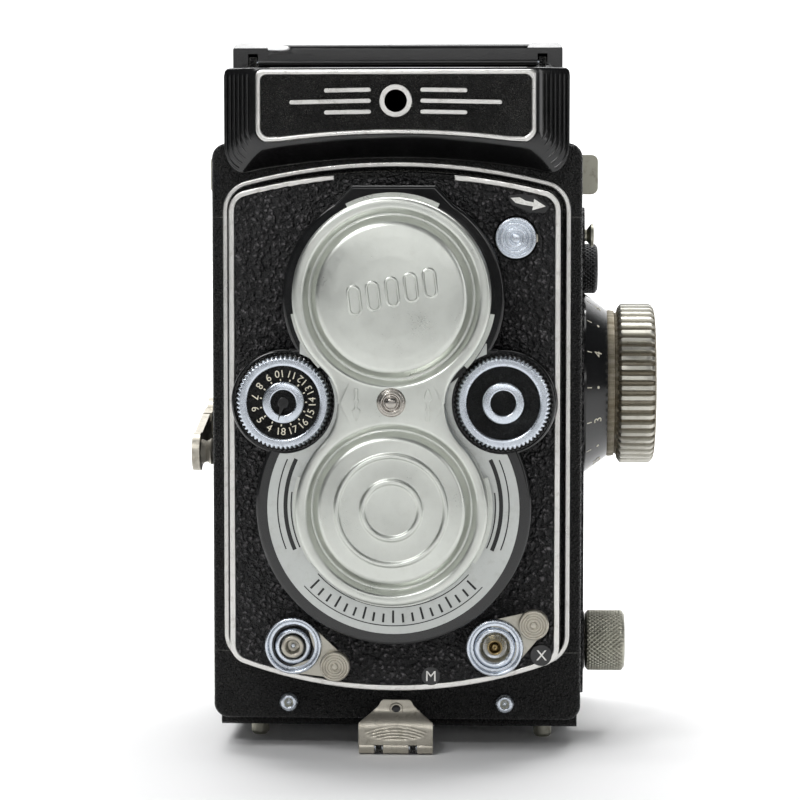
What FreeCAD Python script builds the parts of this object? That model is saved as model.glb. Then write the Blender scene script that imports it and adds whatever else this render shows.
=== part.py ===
"""Twin lens reflex camera with a folded waist-level hood and a twin lens cap, as separate pieces.

Row frame, millimetres: +X towards the focus knob, +Y from the lenses towards the back, +Z up.
The origin is the mouth of the tripod socket, on the underside of the base plate.
"""

import math
import os

import FreeCAD
import Part

V = FreeCAD.Vector

# ---------------------------------------------------------------- driving dimensions
HALF_WIDTH = 37.7          # body, without knobs
FRONT_Y = -33.0            # front face of the casting
BACK_Y = 31.0              # rear edge of the casting
DOOR_Y = 35.0              # outer face of the hinged back
BOTTOM_Z = 3.0             # lower edge of the casting
TOP_Z = 121.0              # top face of the casting
BASE_THICK = 2.8           # base plate of the hinged back
VIEW_Z = 90.0              # viewing lens axis
TAKE_Z = 48.0              # taking lens axis
FOCUS_TRAVEL = 6.5         # travel of the lens board
FOCUS_TURN_DEG = 290.0     # turn of the focus knob over that travel
BOARD_Y = -42.0            # front face of the lens board, racked out
KNOB_Y, KNOB_Z = 5.0, 70.0           # focus knob axis
CRANK_Y, CRANK_Z = 5.0, 61.0         # film crank axis
TAKEUP_Y, TAKEUP_Z = 19.2, 94.5      # take-up spool axis
FEED_Y, FEED_Z = -8.0, 15.8          # feed spool axis
WHEEL_X, WHEEL_Z = 21.9, 69.2        # setting wheels, either side of the middle
GAP = 0.3                  # clearance between pieces that move past each other
SKIN = 0.6                 # leather covering
DOOR_HINGE_Y, DOOR_HINGE_Z = 33.4, 119.2
CATCH_Y, CATCH_Z = -35.8, -2.3       # pivot of the back catch
LID_Y, LID_Z = -28.5, 137.5          # hinge of the hood lid
REAR_Y, REAR_Z = 29.0, 135.5         # hinge of the rear hood panel
SIDE_X, SIDE_Z = 30.5, 130.5         # hinges of the side hood panels

PARTS = {}


# ---------------------------------------------------------------- shape helpers
def box(x0, x1, y0, y1, z0, z1):
    """Box between two corners."""
    return Part.makeBox(x1 - x0, y1 - y0, z1 - z0, V(x0, y0, z0))


def cyl_x(radius, x0, x1, y, z):
    """Cylinder along X."""
    return Part.makeCylinder(radius, x1 - x0, V(x0, y, z), V(1, 0, 0))


def cyl_y(radius, y0, y1, x, z):
    """Cylinder along Y."""
    return Part.makeCylinder(radius, y1 - y0, V(x, y0, z), V(0, 1, 0))


def cyl_z(radius, z0, z1, x, y):
    """Cylinder along Z."""
    return Part.makeCylinder(radius, z1 - z0, V(x, y, z0), V(0, 0, 1))


def ring_y(outer, inner, y0, y1, x, z):
    """Tube along Y."""
    return cyl_y(outer, y0, y1, x, z).cut(cyl_y(inner, y0 - 1, y1 + 1, x, z))


def ring_x(outer, inner, x0, x1, y, z):
    """Tube along X."""
    return cyl_x(outer, x0, x1, y, z).cut(cyl_x(inner, x0 - 1, x1 + 1, y, z))


def join(shapes):
    """One solid from overlapping shapes."""
    first = shapes[0]
    return first.fuse(shapes[1:]).removeSplitter() if len(shapes) > 1 else first


def cut(base, *tools):
    """Base with the tools taken away."""
    return base.cut(list(tools)) if tools else base


def group(shapes):
    """Several separate solids in one node."""
    return Part.makeCompound(shapes)


def edges_along(shape, axis, test=lambda p: True):
    """Straight edges along an axis whose middle passes the test."""
    found = []
    for edge in shape.Edges:
        if not isinstance(edge.Curve, Part.Line):
            continue
        if abs(abs(edge.Curve.Direction.dot(axis)) - 1) > 1e-6:
            continue
        if test(edge.CenterOfMass):
            found.append(edge)
    return found


def round_edges(shape, radius, edges):
    """Fillet that keeps the sharp shape if the kernel refuses."""
    if not edges:
        return shape
    try:
        rounded = shape.makeFillet(radius, edges)
    except Part.OCCError:
        return shape
    return rounded if rounded.isValid() else shape


def bevel_edges(shape, size, edges):
    """Chamfer that keeps the sharp shape if the kernel refuses."""
    if not edges:
        return shape
    try:
        bevelled = shape.makeChamfer(size, edges)
    except Part.OCCError:
        return shape
    return bevelled if bevelled.isValid() else shape


def edges_on_plane(shape, axis, value, test=lambda e: True):
    """Edges that lie wholly in a plane across X, Y or Z."""
    index = "XYZ".index(axis)
    return [
        e
        for e in shape.Edges
        if abs(e.BoundBox.__getattribute__(axis + "Min") - value) < 1e-4
        and abs(e.BoundBox.__getattribute__(axis + "Max") - value) < 1e-4
        and index >= 0
        and test(e)
    ]


def prism_x(points, x0, x1):
    """Extrude a closed outline of (y, z) points along X."""
    wire = Part.makePolygon([V(x0, y, z) for y, z in points + points[:1]])
    return Part.Face(wire).extrude(V(x1 - x0, 0, 0))


def prism_y(points, y0, y1):
    """Extrude a closed outline of (x, z) points along Y."""
    wire = Part.makePolygon([V(x, y0, z) for x, z in points + points[:1]])
    return Part.Face(wire).extrude(V(0, y1 - y0, 0))


def prism_z(points, z0, z1):
    """Extrude a closed outline of (x, y) points along Z."""
    wire = Part.makePolygon([V(x, y, z0) for x, y in points + points[:1]])
    return Part.Face(wire).extrude(V(0, 0, z1 - z0))


def turned_y(profile, x, z):
    """Turn a closed (radius, y) outline about a line along Y."""
    wire = Part.makePolygon([V(x + r, y, z) for r, y in profile + profile[:1]])
    return Part.Face(wire).revolve(V(x, 0, z), V(0, 1, 0), 360)


def turned_x(profile, y, z):
    """Turn a closed (radius, x) outline about a line along X."""
    wire = Part.makePolygon([V(x, y + r, z) for r, x in profile + profile[:1]])
    return Part.Face(wire).revolve(V(0, y, z), V(1, 0, 0), 360)


def turned_z(profile, x, y):
    """Turn a closed (radius, z) outline about a line along Z."""
    wire = Part.makePolygon([V(x + r, y, z) for r, z in profile + profile[:1]])
    return Part.Face(wire).revolve(V(x, y, 0), V(0, 0, 1), 360)


def around(shape, centre, axis, count):
    """Copies of a shape, spread evenly round an axis."""
    copies = []
    for k in range(count):
        one = shape.copy()
        one.rotate(centre, axis, 360.0 * k / count)
        copies.append(one)
    return copies


def mirrored(shape):
    """The same shape on the other side of the middle plane."""
    return shape.mirror(V(0, 0, 0), V(1, 0, 0))


# ---------------------------------------------------------------- the front outline
BOARD_HALF = 33.2
BOARD_TOP, TOP_RADIUS = 115.0, 124.0       # crown of the arched top and its radius
BOARD_LOW, LOW_RADIUS = 10.6, 90.0         # lowest point of the arched bottom and its radius
CORNER = 4.0


def arched_block(y0, y1, half, top, low, corner):
    """Block whose front outline has straight sides, an arched top and an arched bottom."""
    block = box(-half, half, y0, y1, low, top)
    block = block.common(cyl_y(TOP_RADIUS, y0, y1, 0, top - TOP_RADIUS))
    block = block.common(cyl_y(LOW_RADIUS, y0, y1, 0, low + LOW_RADIUS))
    return round_edges(block, corner, edges_along(block, V(0, 1, 0)))


def board_block(y0, y1, grow):
    """The lens board's outline, grown or shrunk all round."""
    return arched_block(
        y0, y1, BOARD_HALF + grow, BOARD_TOP + grow, BOARD_LOW - grow, max(0.6, CORNER + grow)
    )


# ---------------------------------------------------------------- body casting
BULKHEAD = (-22.5, -20.5)      # wall behind the lens board's pocket
INNER_X = (-33.4, 35.0)        # inner faces of the side walls
GEAR_X = (-36.7, -34.4)        # slot for the gears inside the crank-side wall
ROD_PLACES = [(sx * 29.6, z) for sx in (-1, 1) for z in (38.0, 104.0)]
ROD_RADIUS = 1.5
SCREEN_X, SCREEN_Y = 28.0, (-22.0, 28.0)


def gear_centres():
    """Places of the crank, idler and spool gears, as (y, z)."""
    pitch = [GEAR_MODULE * n / 2 for n in GEAR_TEETH]
    span = math.hypot(TAKEUP_Y - CRANK_Y, TAKEUP_Z - CRANK_Z)
    first, last = pitch[0] + pitch[1] + MESH_SLACK, pitch[1] + pitch[2] + MESH_SLACK
    along = (first**2 - last**2 + span**2) / (2 * span)
    aside = math.sqrt(first**2 - along**2)
    uy, uz = (TAKEUP_Y - CRANK_Y) / span, (TAKEUP_Z - CRANK_Z) / span
    idler = (CRANK_Y + uy * along - uz * aside, CRANK_Z + uz * along + uy * aside)
    return [(CRANK_Y, CRANK_Z), idler, (TAKEUP_Y, TAKEUP_Z)]


GEAR_MODULE = 0.8
GEAR_TEETH = [24, 27, 20]
MESH_SLACK = 0.1
GEARS = gear_centres()


def make_casting():
    """Hollow die-cast body: side walls, top, and the bulkhead behind the lens board."""
    outer = box(-HALF_WIDTH, HALF_WIDTH, FRONT_Y, BACK_Y, BOTTOM_Z, TOP_Z)
    outer = round_edges(outer, 3.0, edges_along(outer, V(0, 1, 0)))
    outer = round_edges(outer, 0.8, edges_on_plane(outer, "Y", FRONT_Y))
    cavity = box(INNER_X[0], INNER_X[1], BULKHEAD[1], BACK_Y + 1, BOTTOM_Z - 1, TOP_Z - 3)
    feed_room = box(INNER_X[0], INNER_X[1], BULKHEAD[1] - 1, 8, BOTTOM_Z - 1, 29)
    pocket = board_block(FRONT_Y - 2, BULKHEAD[0], GAP)
    screen_hole = box(-SCREEN_X, SCREEN_X, SCREEN_Y[0], SCREEN_Y[1], TOP_Z - 4, TOP_Z + 1)
    screen_seat = box(
        -SCREEN_X - 1.2, SCREEN_X + 1.2, SCREEN_Y[0] - 1.2, SCREEN_Y[1] + 1.2, TOP_Z - 1.8, TOP_Z + 1
    )
    windows = [
        cyl_y(16.0, BULKHEAD[0] - 1, BULKHEAD[1] + 1, 0, VIEW_Z),
        cyl_y(12.5, BULKHEAD[0] - 1, BULKHEAD[1] + 1, 0, TAKE_Z),
        box(30.6, 33.4, BULKHEAD[0] - 1, BULKHEAD[1] + 1, KNOB_Z - 2.4, KNOB_Z + 2.4),
    ]
    rods = [
        cyl_y(ROD_RADIUS + 0.06, BULKHEAD[0] - 1, BULKHEAD[1] + 1, x, z) for x, z in ROD_PLACES
    ]
    bores = [
        cyl_x(2.5, 34, 39, KNOB_Y, KNOB_Z),
        cyl_x(2.5, 34, 39, TAKEUP_Y, TAKEUP_Z),
        cyl_x(2.5, 34, 39, FEED_Y, FEED_Z),
        cyl_x(2.6, -38, -36, CRANK_Y, CRANK_Z),
        cyl_x(3.2, -34.6, -33, TAKEUP_Y, TAKEUP_Z),
    ]
    gear_room = [
        cyl_x(GEAR_MODULE * (n / 2 + 1) + 0.5, GEAR_X[0], GEAR_X[1], y, z)
        for n, (y, z) in zip(GEAR_TEETH, GEARS)
    ]
    shell = cut(
        outer, cavity, feed_room, pocket, screen_hole, screen_seat, *windows, *rods, *bores, *gear_room
    )
    mirror_bars = [
        box(INNER_X[0], INNER_X[1], -20.5, -17.2, 72.2, 75.0),
        box(INNER_X[0], INNER_X[1], 23.6, 27.5, 115.4, 118.0),
    ]
    knuckles = [hinge_knuckle(sx * 12.0, sx * 30.0) for sx in (-1, 1)]
    ears = [catch_ear(sx) for sx in (-1, 1)]
    frame = parted(shell, -40, 40, FRONT_Y - 1, BULKHEAD[0], 0, TOP_Z + 1)
    frame_bars = [
        join([parted(frame, -40, 40, -40, 0, 0, 17.0)] + ears),
        parted(frame, -40, 0, -40, 0, 17.0, 106.0),
        parted(frame, 0, 40, -40, 0, 17.0, 106.0),
        parted(frame, -40, 40, -40, 0, 106.0, TOP_Z + 1),
    ]
    rear = (BULKHEAD[0], BACK_Y + 1)
    deck = parted(shell, INNER_X[0], INNER_X[1], rear[0], rear[1], TOP_Z - 3, TOP_Z + 1)
    walls = [
        parted(shell, -40, INNER_X[0], rear[0], rear[1], 0, TOP_Z + 1),
        parted(shell, INNER_X[1], 40, rear[0], rear[1], 0, TOP_Z + 1),
        join([deck] + knuckles),
        parted(shell, INNER_X[0], INNER_X[1], rear[0], BULKHEAD[1], 0, TOP_Z - 3),
    ]
    return group(frame_bars), group(walls + mirror_bars)


def parted(shape, x0, x1, y0, y1, z0, z1):
    """The share of a shape that lies inside a box."""
    return shape.common(box(x0, x1, y0, y1, z0, z1)).removeSplitter()


def hinge_knuckle(xa, xb):
    """Knuckle of the back's hinge on the casting, with its web."""
    x0, x1 = min(xa, xb), max(xa, xb)
    barrel = cyl_x(1.7, x0, x1, DOOR_HINGE_Y, DOOR_HINGE_Z)
    web = box(x0, x1, BACK_Y - 0.5, DOOR_HINGE_Y, DOOR_HINGE_Z - 0.9, DOOR_HINGE_Z + 1.6)
    return cut(join([barrel, web]), cyl_x(0.82, x0 - 1, x1 + 1, DOOR_HINGE_Y, DOOR_HINGE_Z))


CATCH_HALF = 7.6
EAR_X = (2.9, 4.1)


def catch_ear(side):
    """Knuckle under the front edge that carries the catch's pin."""
    lo, hi = sorted((side * EAR_X[0], side * EAR_X[1]))
    outline = [
        (FRONT_Y + 1.8, 3.4), (FRONT_Y + 1.8, 1.6), (CATCH_Y + 0.9, CATCH_Z - 1.0),
        (CATCH_Y + 0.3, CATCH_Z - 1.25), (CATCH_Y - 0.6, CATCH_Z - 1.1), (CATCH_Y - 1.1, CATCH_Z - 0.4),
        (CATCH_Y - 1.1, CATCH_Z + 0.4), (CATCH_Y - 0.5, CATCH_Z + 1.1), (FRONT_Y + 0.1, 1.8), (FRONT_Y + 0.1, 3.4),
    ]
    ear = prism_x(outline, lo, hi)
    return cut(ear, cyl_x(0.62, lo - 1, hi + 1, CATCH_Y, CATCH_Z))


PARTS["front_frame"], PARTS["body_casting"] = make_casting()

# Bright bead round the casting's front opening
TRIM_HALF, TRIM_TOP, TRIM_LOW = 35.4, 117.2, 9.2
trim_outer = arched_block(FRONT_Y - 0.6, FRONT_Y, TRIM_HALF, TRIM_TOP, TRIM_LOW, 6.2)
trim_inner = arched_block(
    FRONT_Y - 2, FRONT_Y + 1, TRIM_HALF - 1.1, TRIM_TOP - 1.1, BOARD_LOW - GAP - 0.05, 5.1
)
trim = cut(trim_outer, trim_inner)
PARTS["body_trim"] = round_edges(trim, 0.3, edges_on_plane(trim, "Y", FRONT_Y - 0.6))

# Covers and leather on the sides
SIDE_Y = (-27.0, 27.5)


def side_leather(sign, holes):
    """Thin leather on one side wall, with its openings."""
    x0, x1 = (HALF_WIDTH, HALF_WIDTH + SKIN) if sign > 0 else (-HALF_WIDTH - SKIN, -HALF_WIDTH)
    sheet = box(x0, x1, SIDE_Y[0], SIDE_Y[1], 7.0, 108.0)
    sheet = round_edges(sheet, 5.0, edges_along(sheet, V(1, 0, 0)))
    return cut(sheet, *holes)


KNOB_BASE = 19.3
knob_side = side_leather(
    1,
    [
        cyl_x(KNOB_BASE + 1.2, 37, 39, KNOB_Y, KNOB_Z),
        cyl_x(7.4, 37, 39, FEED_Y, FEED_Z),
        cyl_x(6.6, 37, 39, TAKEUP_Y, TAKEUP_Z),
        cyl_x(2.9, 37, 39, KNOB_Y, 102.0),
    ],
)
DOME_RADIUS, DOME_HEIGHT = 21.5, 4.2
COUNTER_Y, COUNTER_Z, COUNTER_RADIUS = -14.0, 98.0, 4.6
crank_side = side_leather(
    -1,
    [
        cyl_x(DOME_RADIUS + 0.2, -39, -37, CRANK_Y, CRANK_Z),
        cyl_x(COUNTER_RADIUS + 0.2, -39, -37, COUNTER_Y, COUNTER_Z),
    ],
)
PARTS["side_leather"] = group([knob_side, crank_side])

# Domed cover over the winding mechanism, with a bearing for the crank
dome_sphere = (DOME_RADIUS**2 + DOME_HEIGHT**2) / (2 * DOME_HEIGHT)
dome = Part.makeSphere(dome_sphere, V(-HALF_WIDTH - DOME_HEIGHT + dome_sphere, CRANK_Y, CRANK_Z))
dome = dome.common(cyl_x(DOME_RADIUS, -HALF_WIDTH - 6, -HALF_WIDTH, CRANK_Y, CRANK_Z))
dome_hollow = cyl_x(9.0, -HALF_WIDTH - 1.6, -HALF_WIDTH + 1, CRANK_Y, CRANK_Z)
dome_bore = cyl_x(2.6, -HALF_WIDTH - 9, -HALF_WIDTH + 1, CRANK_Y, CRANK_Z)
dome_flat = cyl_x(10.2, -HALF_WIDTH - 9, -HALF_WIDTH - 3.4, CRANK_Y, CRANK_Z)
PARTS["crank_cover"] = cut(dome, dome_hollow, dome_bore, dome_flat)

counter_bezel = turned_x(
    [(0, -HALF_WIDTH), (COUNTER_RADIUS, -HALF_WIDTH), (COUNTER_RADIUS - 0.5, -HALF_WIDTH - 1.3),
     (3.4, -HALF_WIDTH - 1.3), (3.2, -HALF_WIDTH - 0.9), (0, -HALF_WIDTH - 0.9)],
    COUNTER_Y, COUNTER_Z,
)


def strap_lug(sign):
    """Bracket with a slot for a strap."""
    x0, x1 = HALF_WIDTH, HALF_WIDTH + 3.8
    lug = box(x0, x1, -2.0, 9.0, 110.8, 119.2)
    lug = round_edges(lug, 1.4, edges_along(lug, V(0, 1, 0), lambda p: p.x > x1 - 0.1))
    lug = cut(lug, box(x0 + 0.9, x1 - 1.1, -0.4, 7.4, 110, 120))
    return lug if sign > 0 else mirrored(lug)



stud = turned_x(
    [(0, HALF_WIDTH), (1.9, HALF_WIDTH), (1.3, HALF_WIDTH + 0.8), (1.3, HALF_WIDTH + 1.6),
     (2.5, HALF_WIDTH + 2.5), (2.4, HALF_WIDTH + 3.0), (1.2, HALF_WIDTH + 3.2), (0, HALF_WIDTH + 3.2)],
    KNOB_Y, 102.0,
)

RIVET_X, RIVET_Z = 22.2, 6.4


def rivet(x):
    """Domed tubular rivet in the casting's lower front edge."""
    head = turned_y(
        [(0.55, FRONT_Y), (1.8, FRONT_Y), (1.7, FRONT_Y - 0.5), (1.2, FRONT_Y - 0.9),
         (0.8, FRONT_Y - 0.8), (0.55, FRONT_Y - 0.4)],
        x, RIVET_Z,
    )
    return head


rivets = [rivet(RIVET_X), rivet(-RIVET_X)]
PARTS["body_fittings"] = group([counter_bezel, strap_lug(1), strap_lug(-1), stud] + rivets)

# ---------------------------------------------------------------- film path
GATE_Y = (23.5, 25.5)
FRAME_HALF = 28.0


def square_wire(half, y, z):
    """Square across Y, centred on the taking axis."""
    corners = [(-half, -half), (half, -half), (half, half), (-half, half)]
    points = [V(x, y, z + dz) for x, dz in corners]
    return Part.makePolygon(points + points[:1])


def make_film_gate():
    """Film gate plate and the tapering light box in front of it."""
    plate = box(-33.2, 34.8, GATE_Y[0], GATE_Y[1], 17.6, 77.4)
    outside = Part.makeLoft(
        [square_wire(12.2, BULKHEAD[1], TAKE_Z), square_wire(29.0, GATE_Y[0], TAKE_Z)], True, True
    )
    inside = Part.makeLoft(
        [square_wire(11.0, BULKHEAD[1] - 0.1, TAKE_Z), square_wire(FRAME_HALF, GATE_Y[0] + 0.1, TAKE_Z)],
        True, True,
    )
    hole = box(-FRAME_HALF, FRAME_HALF, GATE_Y[0] - 0.1, GATE_Y[1] + 1, TAKE_Z - FRAME_HALF, TAKE_Z + FRAME_HALF)
    rails = [box(sx * 30.3 - 0.6, sx * 30.3 + 0.6, GATE_Y[1] - 0.1, GATE_Y[1] + 0.7, 18, 77) for sx in (-1, 1)]
    return cut(join([plate, outside] + rails), inside, hole)


PARTS["film_gate"] = make_film_gate()


def film_roller(z):
    """Roller with turned-down ends beside the film gate."""
    body = cyl_x(1.9, -30.5, 30.5, 24.6, z)
    ends = cyl_x(0.9, -33.4, 35.0, 24.6, z)
    return join([body, ends])


PARTS["film_rollers"] = group([film_roller(79.6), film_roller(15.4)])

# Reflex mirror, lying at 45 degrees behind the viewing lens
MIRROR_THICK = 1.5
MIRROR_FORWARD = 5.0           # the mirror crosses the axis this far in front of the middle
mirror_low = (-18.6, VIEW_Z - 18.6 + MIRROR_FORWARD)
mirror_high = (22.6, VIEW_Z + 22.6 + MIRROR_FORWARD)
slant = MIRROR_THICK / math.sqrt(2)
PARTS["reflex_mirror"] = prism_x(
    [mirror_low, mirror_high, (mirror_high[0] + slant, mirror_high[1] - slant),
     (mirror_low[0] + slant, mirror_low[1] - slant)],
    -27.0, 27.0,
)
PARTS["focusing_screen"] = box(
    -SCREEN_X - 1.0, SCREEN_X + 1.0, SCREEN_Y[0] - 1.0, SCREEN_Y[1] + 1.0, TOP_Z - 1.8, TOP_Z
)

# Take-up spool, with its drive key and gear on the crank side
SPOOL_X = (-32.9, 34.0)
flanges = [cyl_x(12.2, SPOOL_X[0], SPOOL_X[0] + 1.2, TAKEUP_Y, TAKEUP_Z),
           cyl_x(12.2, SPOOL_X[1] - 1.2, SPOOL_X[1], TAKEUP_Y, TAKEUP_Z)]
core = cyl_x(5.5, SPOOL_X[0], SPOOL_X[1], TAKEUP_Y, TAKEUP_Z)
core_slot = box(-20, 20, TAKEUP_Y - 0.7, TAKEUP_Y + 0.7, TAKEUP_Z - 6, TAKEUP_Z + 6)
spool_bore = cyl_x(2.9, SPOOL_X[0] - 1, SPOOL_X[1] + 1, TAKEUP_Y, TAKEUP_Z)
PARTS["takeup_spool"] = cut(join([core] + flanges), core_slot, spool_bore)


# ---------------------------------------------------------------- winding gears
def gear(teeth, centre, phase, x0, x1, bore):
    """Spur gear with straight-flanked teeth, about a line along X."""
    pitch_radius = GEAR_MODULE * teeth / 2
    tip, root = pitch_radius + 0.65 * GEAR_MODULE, pitch_radius - 1.0 * GEAR_MODULE
    half = 0.19 * math.pi * GEAR_MODULE
    lean = math.tan(math.radians(20))
    half_tip = (half - 0.65 * GEAR_MODULE * lean) / tip
    half_root = (half + 1.0 * GEAR_MODULE * lean) / root
    points = []
    for k in range(teeth):
        middle = phase + 2 * math.pi * k / teeth
        for radius, offset in ((root, -half_root), (tip, -half_tip), (tip, half_tip), (root, half_root)):
            angle = middle + offset
            points.append((centre[0] + radius * math.cos(angle), centre[1] + radius * math.sin(angle)))
    wheel = prism_x(points, x0, x1)
    return cut(wheel, cyl_x(bore, x0 - 1, x1 + 1, centre[0], centre[1])) if bore else wheel


def gear_phases():
    """Tooth phases that put the three gears in mesh at rest."""
    (ya, za), (yi, zi), (yb, zb) = GEARS
    teeth_i, teeth_b = GEAR_TEETH[1], GEAR_TEETH[2]
    to_idler = math.atan2(zi - za, yi - ya)
    to_spool = math.atan2(zb - zi, yb - yi)
    phase_i = to_idler + math.pi + math.pi / teeth_i
    step_i = 2 * math.pi / teeth_i
    shift = (to_spool - phase_i) % step_i
    arc = -shift * GEAR_MODULE * teeth_i / 2 + math.pi * GEAR_MODULE / 2
    phase_b = to_spool + math.pi - arc / (GEAR_MODULE * teeth_b / 2)
    return to_idler, phase_i, phase_b


PHASES = gear_phases()
GEAR_FACE = (GEAR_X[0] + 0.2, GEAR_X[1] - 0.2)
HUB_X = (-43.2, -41.3)
crank_gear = gear(GEAR_TEETH[0], GEARS[0], PHASES[0], GEAR_FACE[0], GEAR_FACE[1], 0)
crank_shaft = cyl_x(2.5, HUB_X[1], GEAR_FACE[0] + 0.1, CRANK_Y, CRANK_Z)
idler = gear(GEAR_TEETH[1], GEARS[1], PHASES[1], GEAR_FACE[0], GEAR_FACE[1], 1.6)
PARTS["idler_gear"] = idler
idler_pin = cyl_x(1.55, GEAR_X[0], GEAR_X[1], GEARS[1][0], GEARS[1][1])
spool_gear = gear(GEAR_TEETH[2], GEARS[2], PHASES[2], GEAR_FACE[0], GEAR_FACE[1], 0)
drive_key = cyl_x(2.85, GEAR_FACE[1] - 0.1, SPOOL_X[0] + 3.5, TAKEUP_Y, TAKEUP_Z)
PARTS["spool_gear"] = join([spool_gear, drive_key])

# ---------------------------------------------------------------- crank
ARM_ANGLE = math.radians(189.0)      # the folded arm points forward and slightly down
ARM_LENGTH = 25.6
ARM_HINGE = 7.4                      # from the hub's axis to the fold hinge
ARM_X = (-43.2, -41.6)
arm_dir = (math.cos(ARM_ANGLE), math.sin(ARM_ANGLE))


def crank_point(distance, aside=0.0):
    """Point in the crank's plane, along and beside the arm."""
    return (
        CRANK_Y + arm_dir[0] * distance - arm_dir[1] * aside,
        CRANK_Z + arm_dir[1] * distance + arm_dir[0] * aside,
    )


def turned_to_arm(shape):
    """Turn a shape drawn along +Y round the hub's axis to the arm's direction."""
    shape.rotate(V(0, CRANK_Y, CRANK_Z), V(1, 0, 0), math.degrees(ARM_ANGLE))
    return shape


fork = join(
    [
        box(HUB_X[0], HUB_X[1], CRANK_Y + 3.0, CRANK_Y + ARM_HINGE + 1.0, CRANK_Z + sz * 3.3 - 0.9, CRANK_Z + sz * 3.3 + 0.9)
        for sz in (-1, 1)
    ]
    + [cyl_x(5.6, HUB_X[0] + 0.35, HUB_X[1], CRANK_Y, CRANK_Z)]
)
hub_screw_seat = cyl_x(2.6, HUB_X[0] - 1, HUB_X[0] + 0.8, CRANK_Y, CRANK_Z)
FOLD_X = (ARM_X[0] + ARM_X[1]) / 2
fold_pin = cyl_z(0.5, CRANK_Z - 4.2, CRANK_Z + 4.2, FOLD_X, CRANK_Y + ARM_HINGE)
PARTS["crank_hub"] = join([turned_to_arm(join([cut(fork, hub_screw_seat), fold_pin])), crank_shaft, crank_gear])

arm_root = CRANK_Y + ARM_HINGE
arm_tongue = box(ARM_X[0], ARM_X[1], arm_root - 0.8, arm_root + 6.0, CRANK_Z - 2.1, CRANK_Z + 2.1)
arm_plate = prism_x(
    [(arm_root + 1.9, CRANK_Z - 4.2), (CRANK_Y + ARM_LENGTH, CRANK_Z - 3.4),
     (CRANK_Y + ARM_LENGTH, CRANK_Z + 3.4), (arm_root + 1.9, CRANK_Z + 4.2)],
    ARM_X[0], ARM_X[1],
)
arm_end = cyl_x(4.0, ARM_X[0], ARM_X[1], CRANK_Y + ARM_LENGTH, CRANK_Z)
knob_pin = cyl_x(0.9, ARM_X[1] - 0.1, -39.3, CRANK_Y + ARM_LENGTH, CRANK_Z)
arm_bore = cyl_z(0.55, CRANK_Z - 4, CRANK_Z + 4, FOLD_X, arm_root)
arm = cut(join([arm_tongue, arm_plate, arm_end, knob_pin]), arm_bore)
PARTS["crank_arm"] = turned_to_arm(arm)
crank_knob = turned_x(
    [(0.95, ARM_X[1] + 0.15), (2.6, ARM_X[1] + 0.15), (2.2, -40.4), (2.8, -39.4), (2.6, -39.1), (0.95, -39.1)],
    CRANK_Y + ARM_LENGTH, CRANK_Z,
)
PARTS["crank_knob"] = turned_to_arm(crank_knob)

# ---------------------------------------------------------------- focus knob and cam
SKIRT_X = (HALF_WIDTH + 0.5, 43.6)
COLLAR_X = 45.3
KNOB_X = (COLLAR_X, 54.0)
GRIP_RADIUS = 17.2
skirt = turned_x(
    [(2.5, SKIRT_X[0]), (KNOB_BASE, SKIRT_X[0]), (KNOB_BASE, SKIRT_X[0] + 0.8), (15.9, SKIRT_X[1]), (2.5, SKIRT_X[1])],
    KNOB_Y, KNOB_Z,
)
PARTS["focus_scale"] = skirt


def make_focus_knob():
    """Turned grip with flat-bottomed grooves, and the collar behind it."""
    grip = turned_x(
        [(2.5, SKIRT_X[1]), (15.9, SKIRT_X[1]), (15.7, COLLAR_X), (GRIP_RADIUS, COLLAR_X + 1.4),
         (GRIP_RADIUS, KNOB_X[1] - 0.9), (GRIP_RADIUS - 0.9, KNOB_X[1]), (9.0, KNOB_X[1]),
         (8.6, KNOB_X[1] - 0.7), (2.5, KNOB_X[1] - 0.7)],
        KNOB_Y, KNOB_Z,
    )
    groove = box(COLLAR_X - 0.4, KNOB_X[1] - 1.5, KNOB_Y + GRIP_RADIUS - 0.75, KNOB_Y + GRIP_RADIUS + 1, KNOB_Z - 0.55, KNOB_Z + 0.55)
    grooves = around(groove, V(0, KNOB_Y, KNOB_Z), V(1, 0, 0), 52)
    return cut(grip, *grooves)


PARTS["focus_knob"] = make_focus_knob()

CAM_X = (31.0, 33.0)
CAM_LOW, CAM_HIGH = 8.0, 8.0 + FOCUS_TRAVEL


def cam_radius(turn_deg):
    """Cam radius under the follower when the knob has turned by this much."""
    if turn_deg <= FOCUS_TURN_DEG:
        return CAM_HIGH - FOCUS_TRAVEL * turn_deg / FOCUS_TURN_DEG
    if turn_deg <= 302.0:
        return CAM_LOW
    return CAM_LOW + FOCUS_TRAVEL * min(1.0, (turn_deg - 302.0) / 44.0)


cam_points = []
for step in range(120):
    turn = 3.0 * step
    angle = math.pi - math.radians(turn)
    radius = cam_radius(turn)
    cam_points.append((KNOB_Y + radius * math.cos(angle), KNOB_Z + radius * math.sin(angle)))
cam = prism_x(cam_points, CAM_X[0], CAM_X[1])
cam_shaft = cyl_x(2.45, CAM_X[0], KNOB_X[1] - 1.1, KNOB_Y, KNOB_Z)
PARTS["focus_cam"] = join([cam, cam_shaft])

# ---------------------------------------------------------------- spool knobs


def spool_knob(y, z, radius, x0, x1, reach):
    """Pull-out knob whose stem reaches through the side wall into the spool's end."""
    knob = turned_x(
        [(0, x0), (radius - 0.5, x0), (radius, x0 + 0.6), (radius, x1 - 0.7), (radius - 0.6, x1), (0, x1)], y, z
    )
    stem = cyl_x(2.42, reach, x0 + 0.1, y, z)
    return join([knob, stem])


PARTS["feed_knob"] = spool_knob(FEED_Y, FEED_Z, 6.4, HALF_WIDTH + 1.3, 47.4, 29.5)
PARTS["takeup_knob"] = spool_knob(TAKEUP_Y, TAKEUP_Z, 5.5, HALF_WIDTH + 0.4, 42.0, 30.0)

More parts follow.
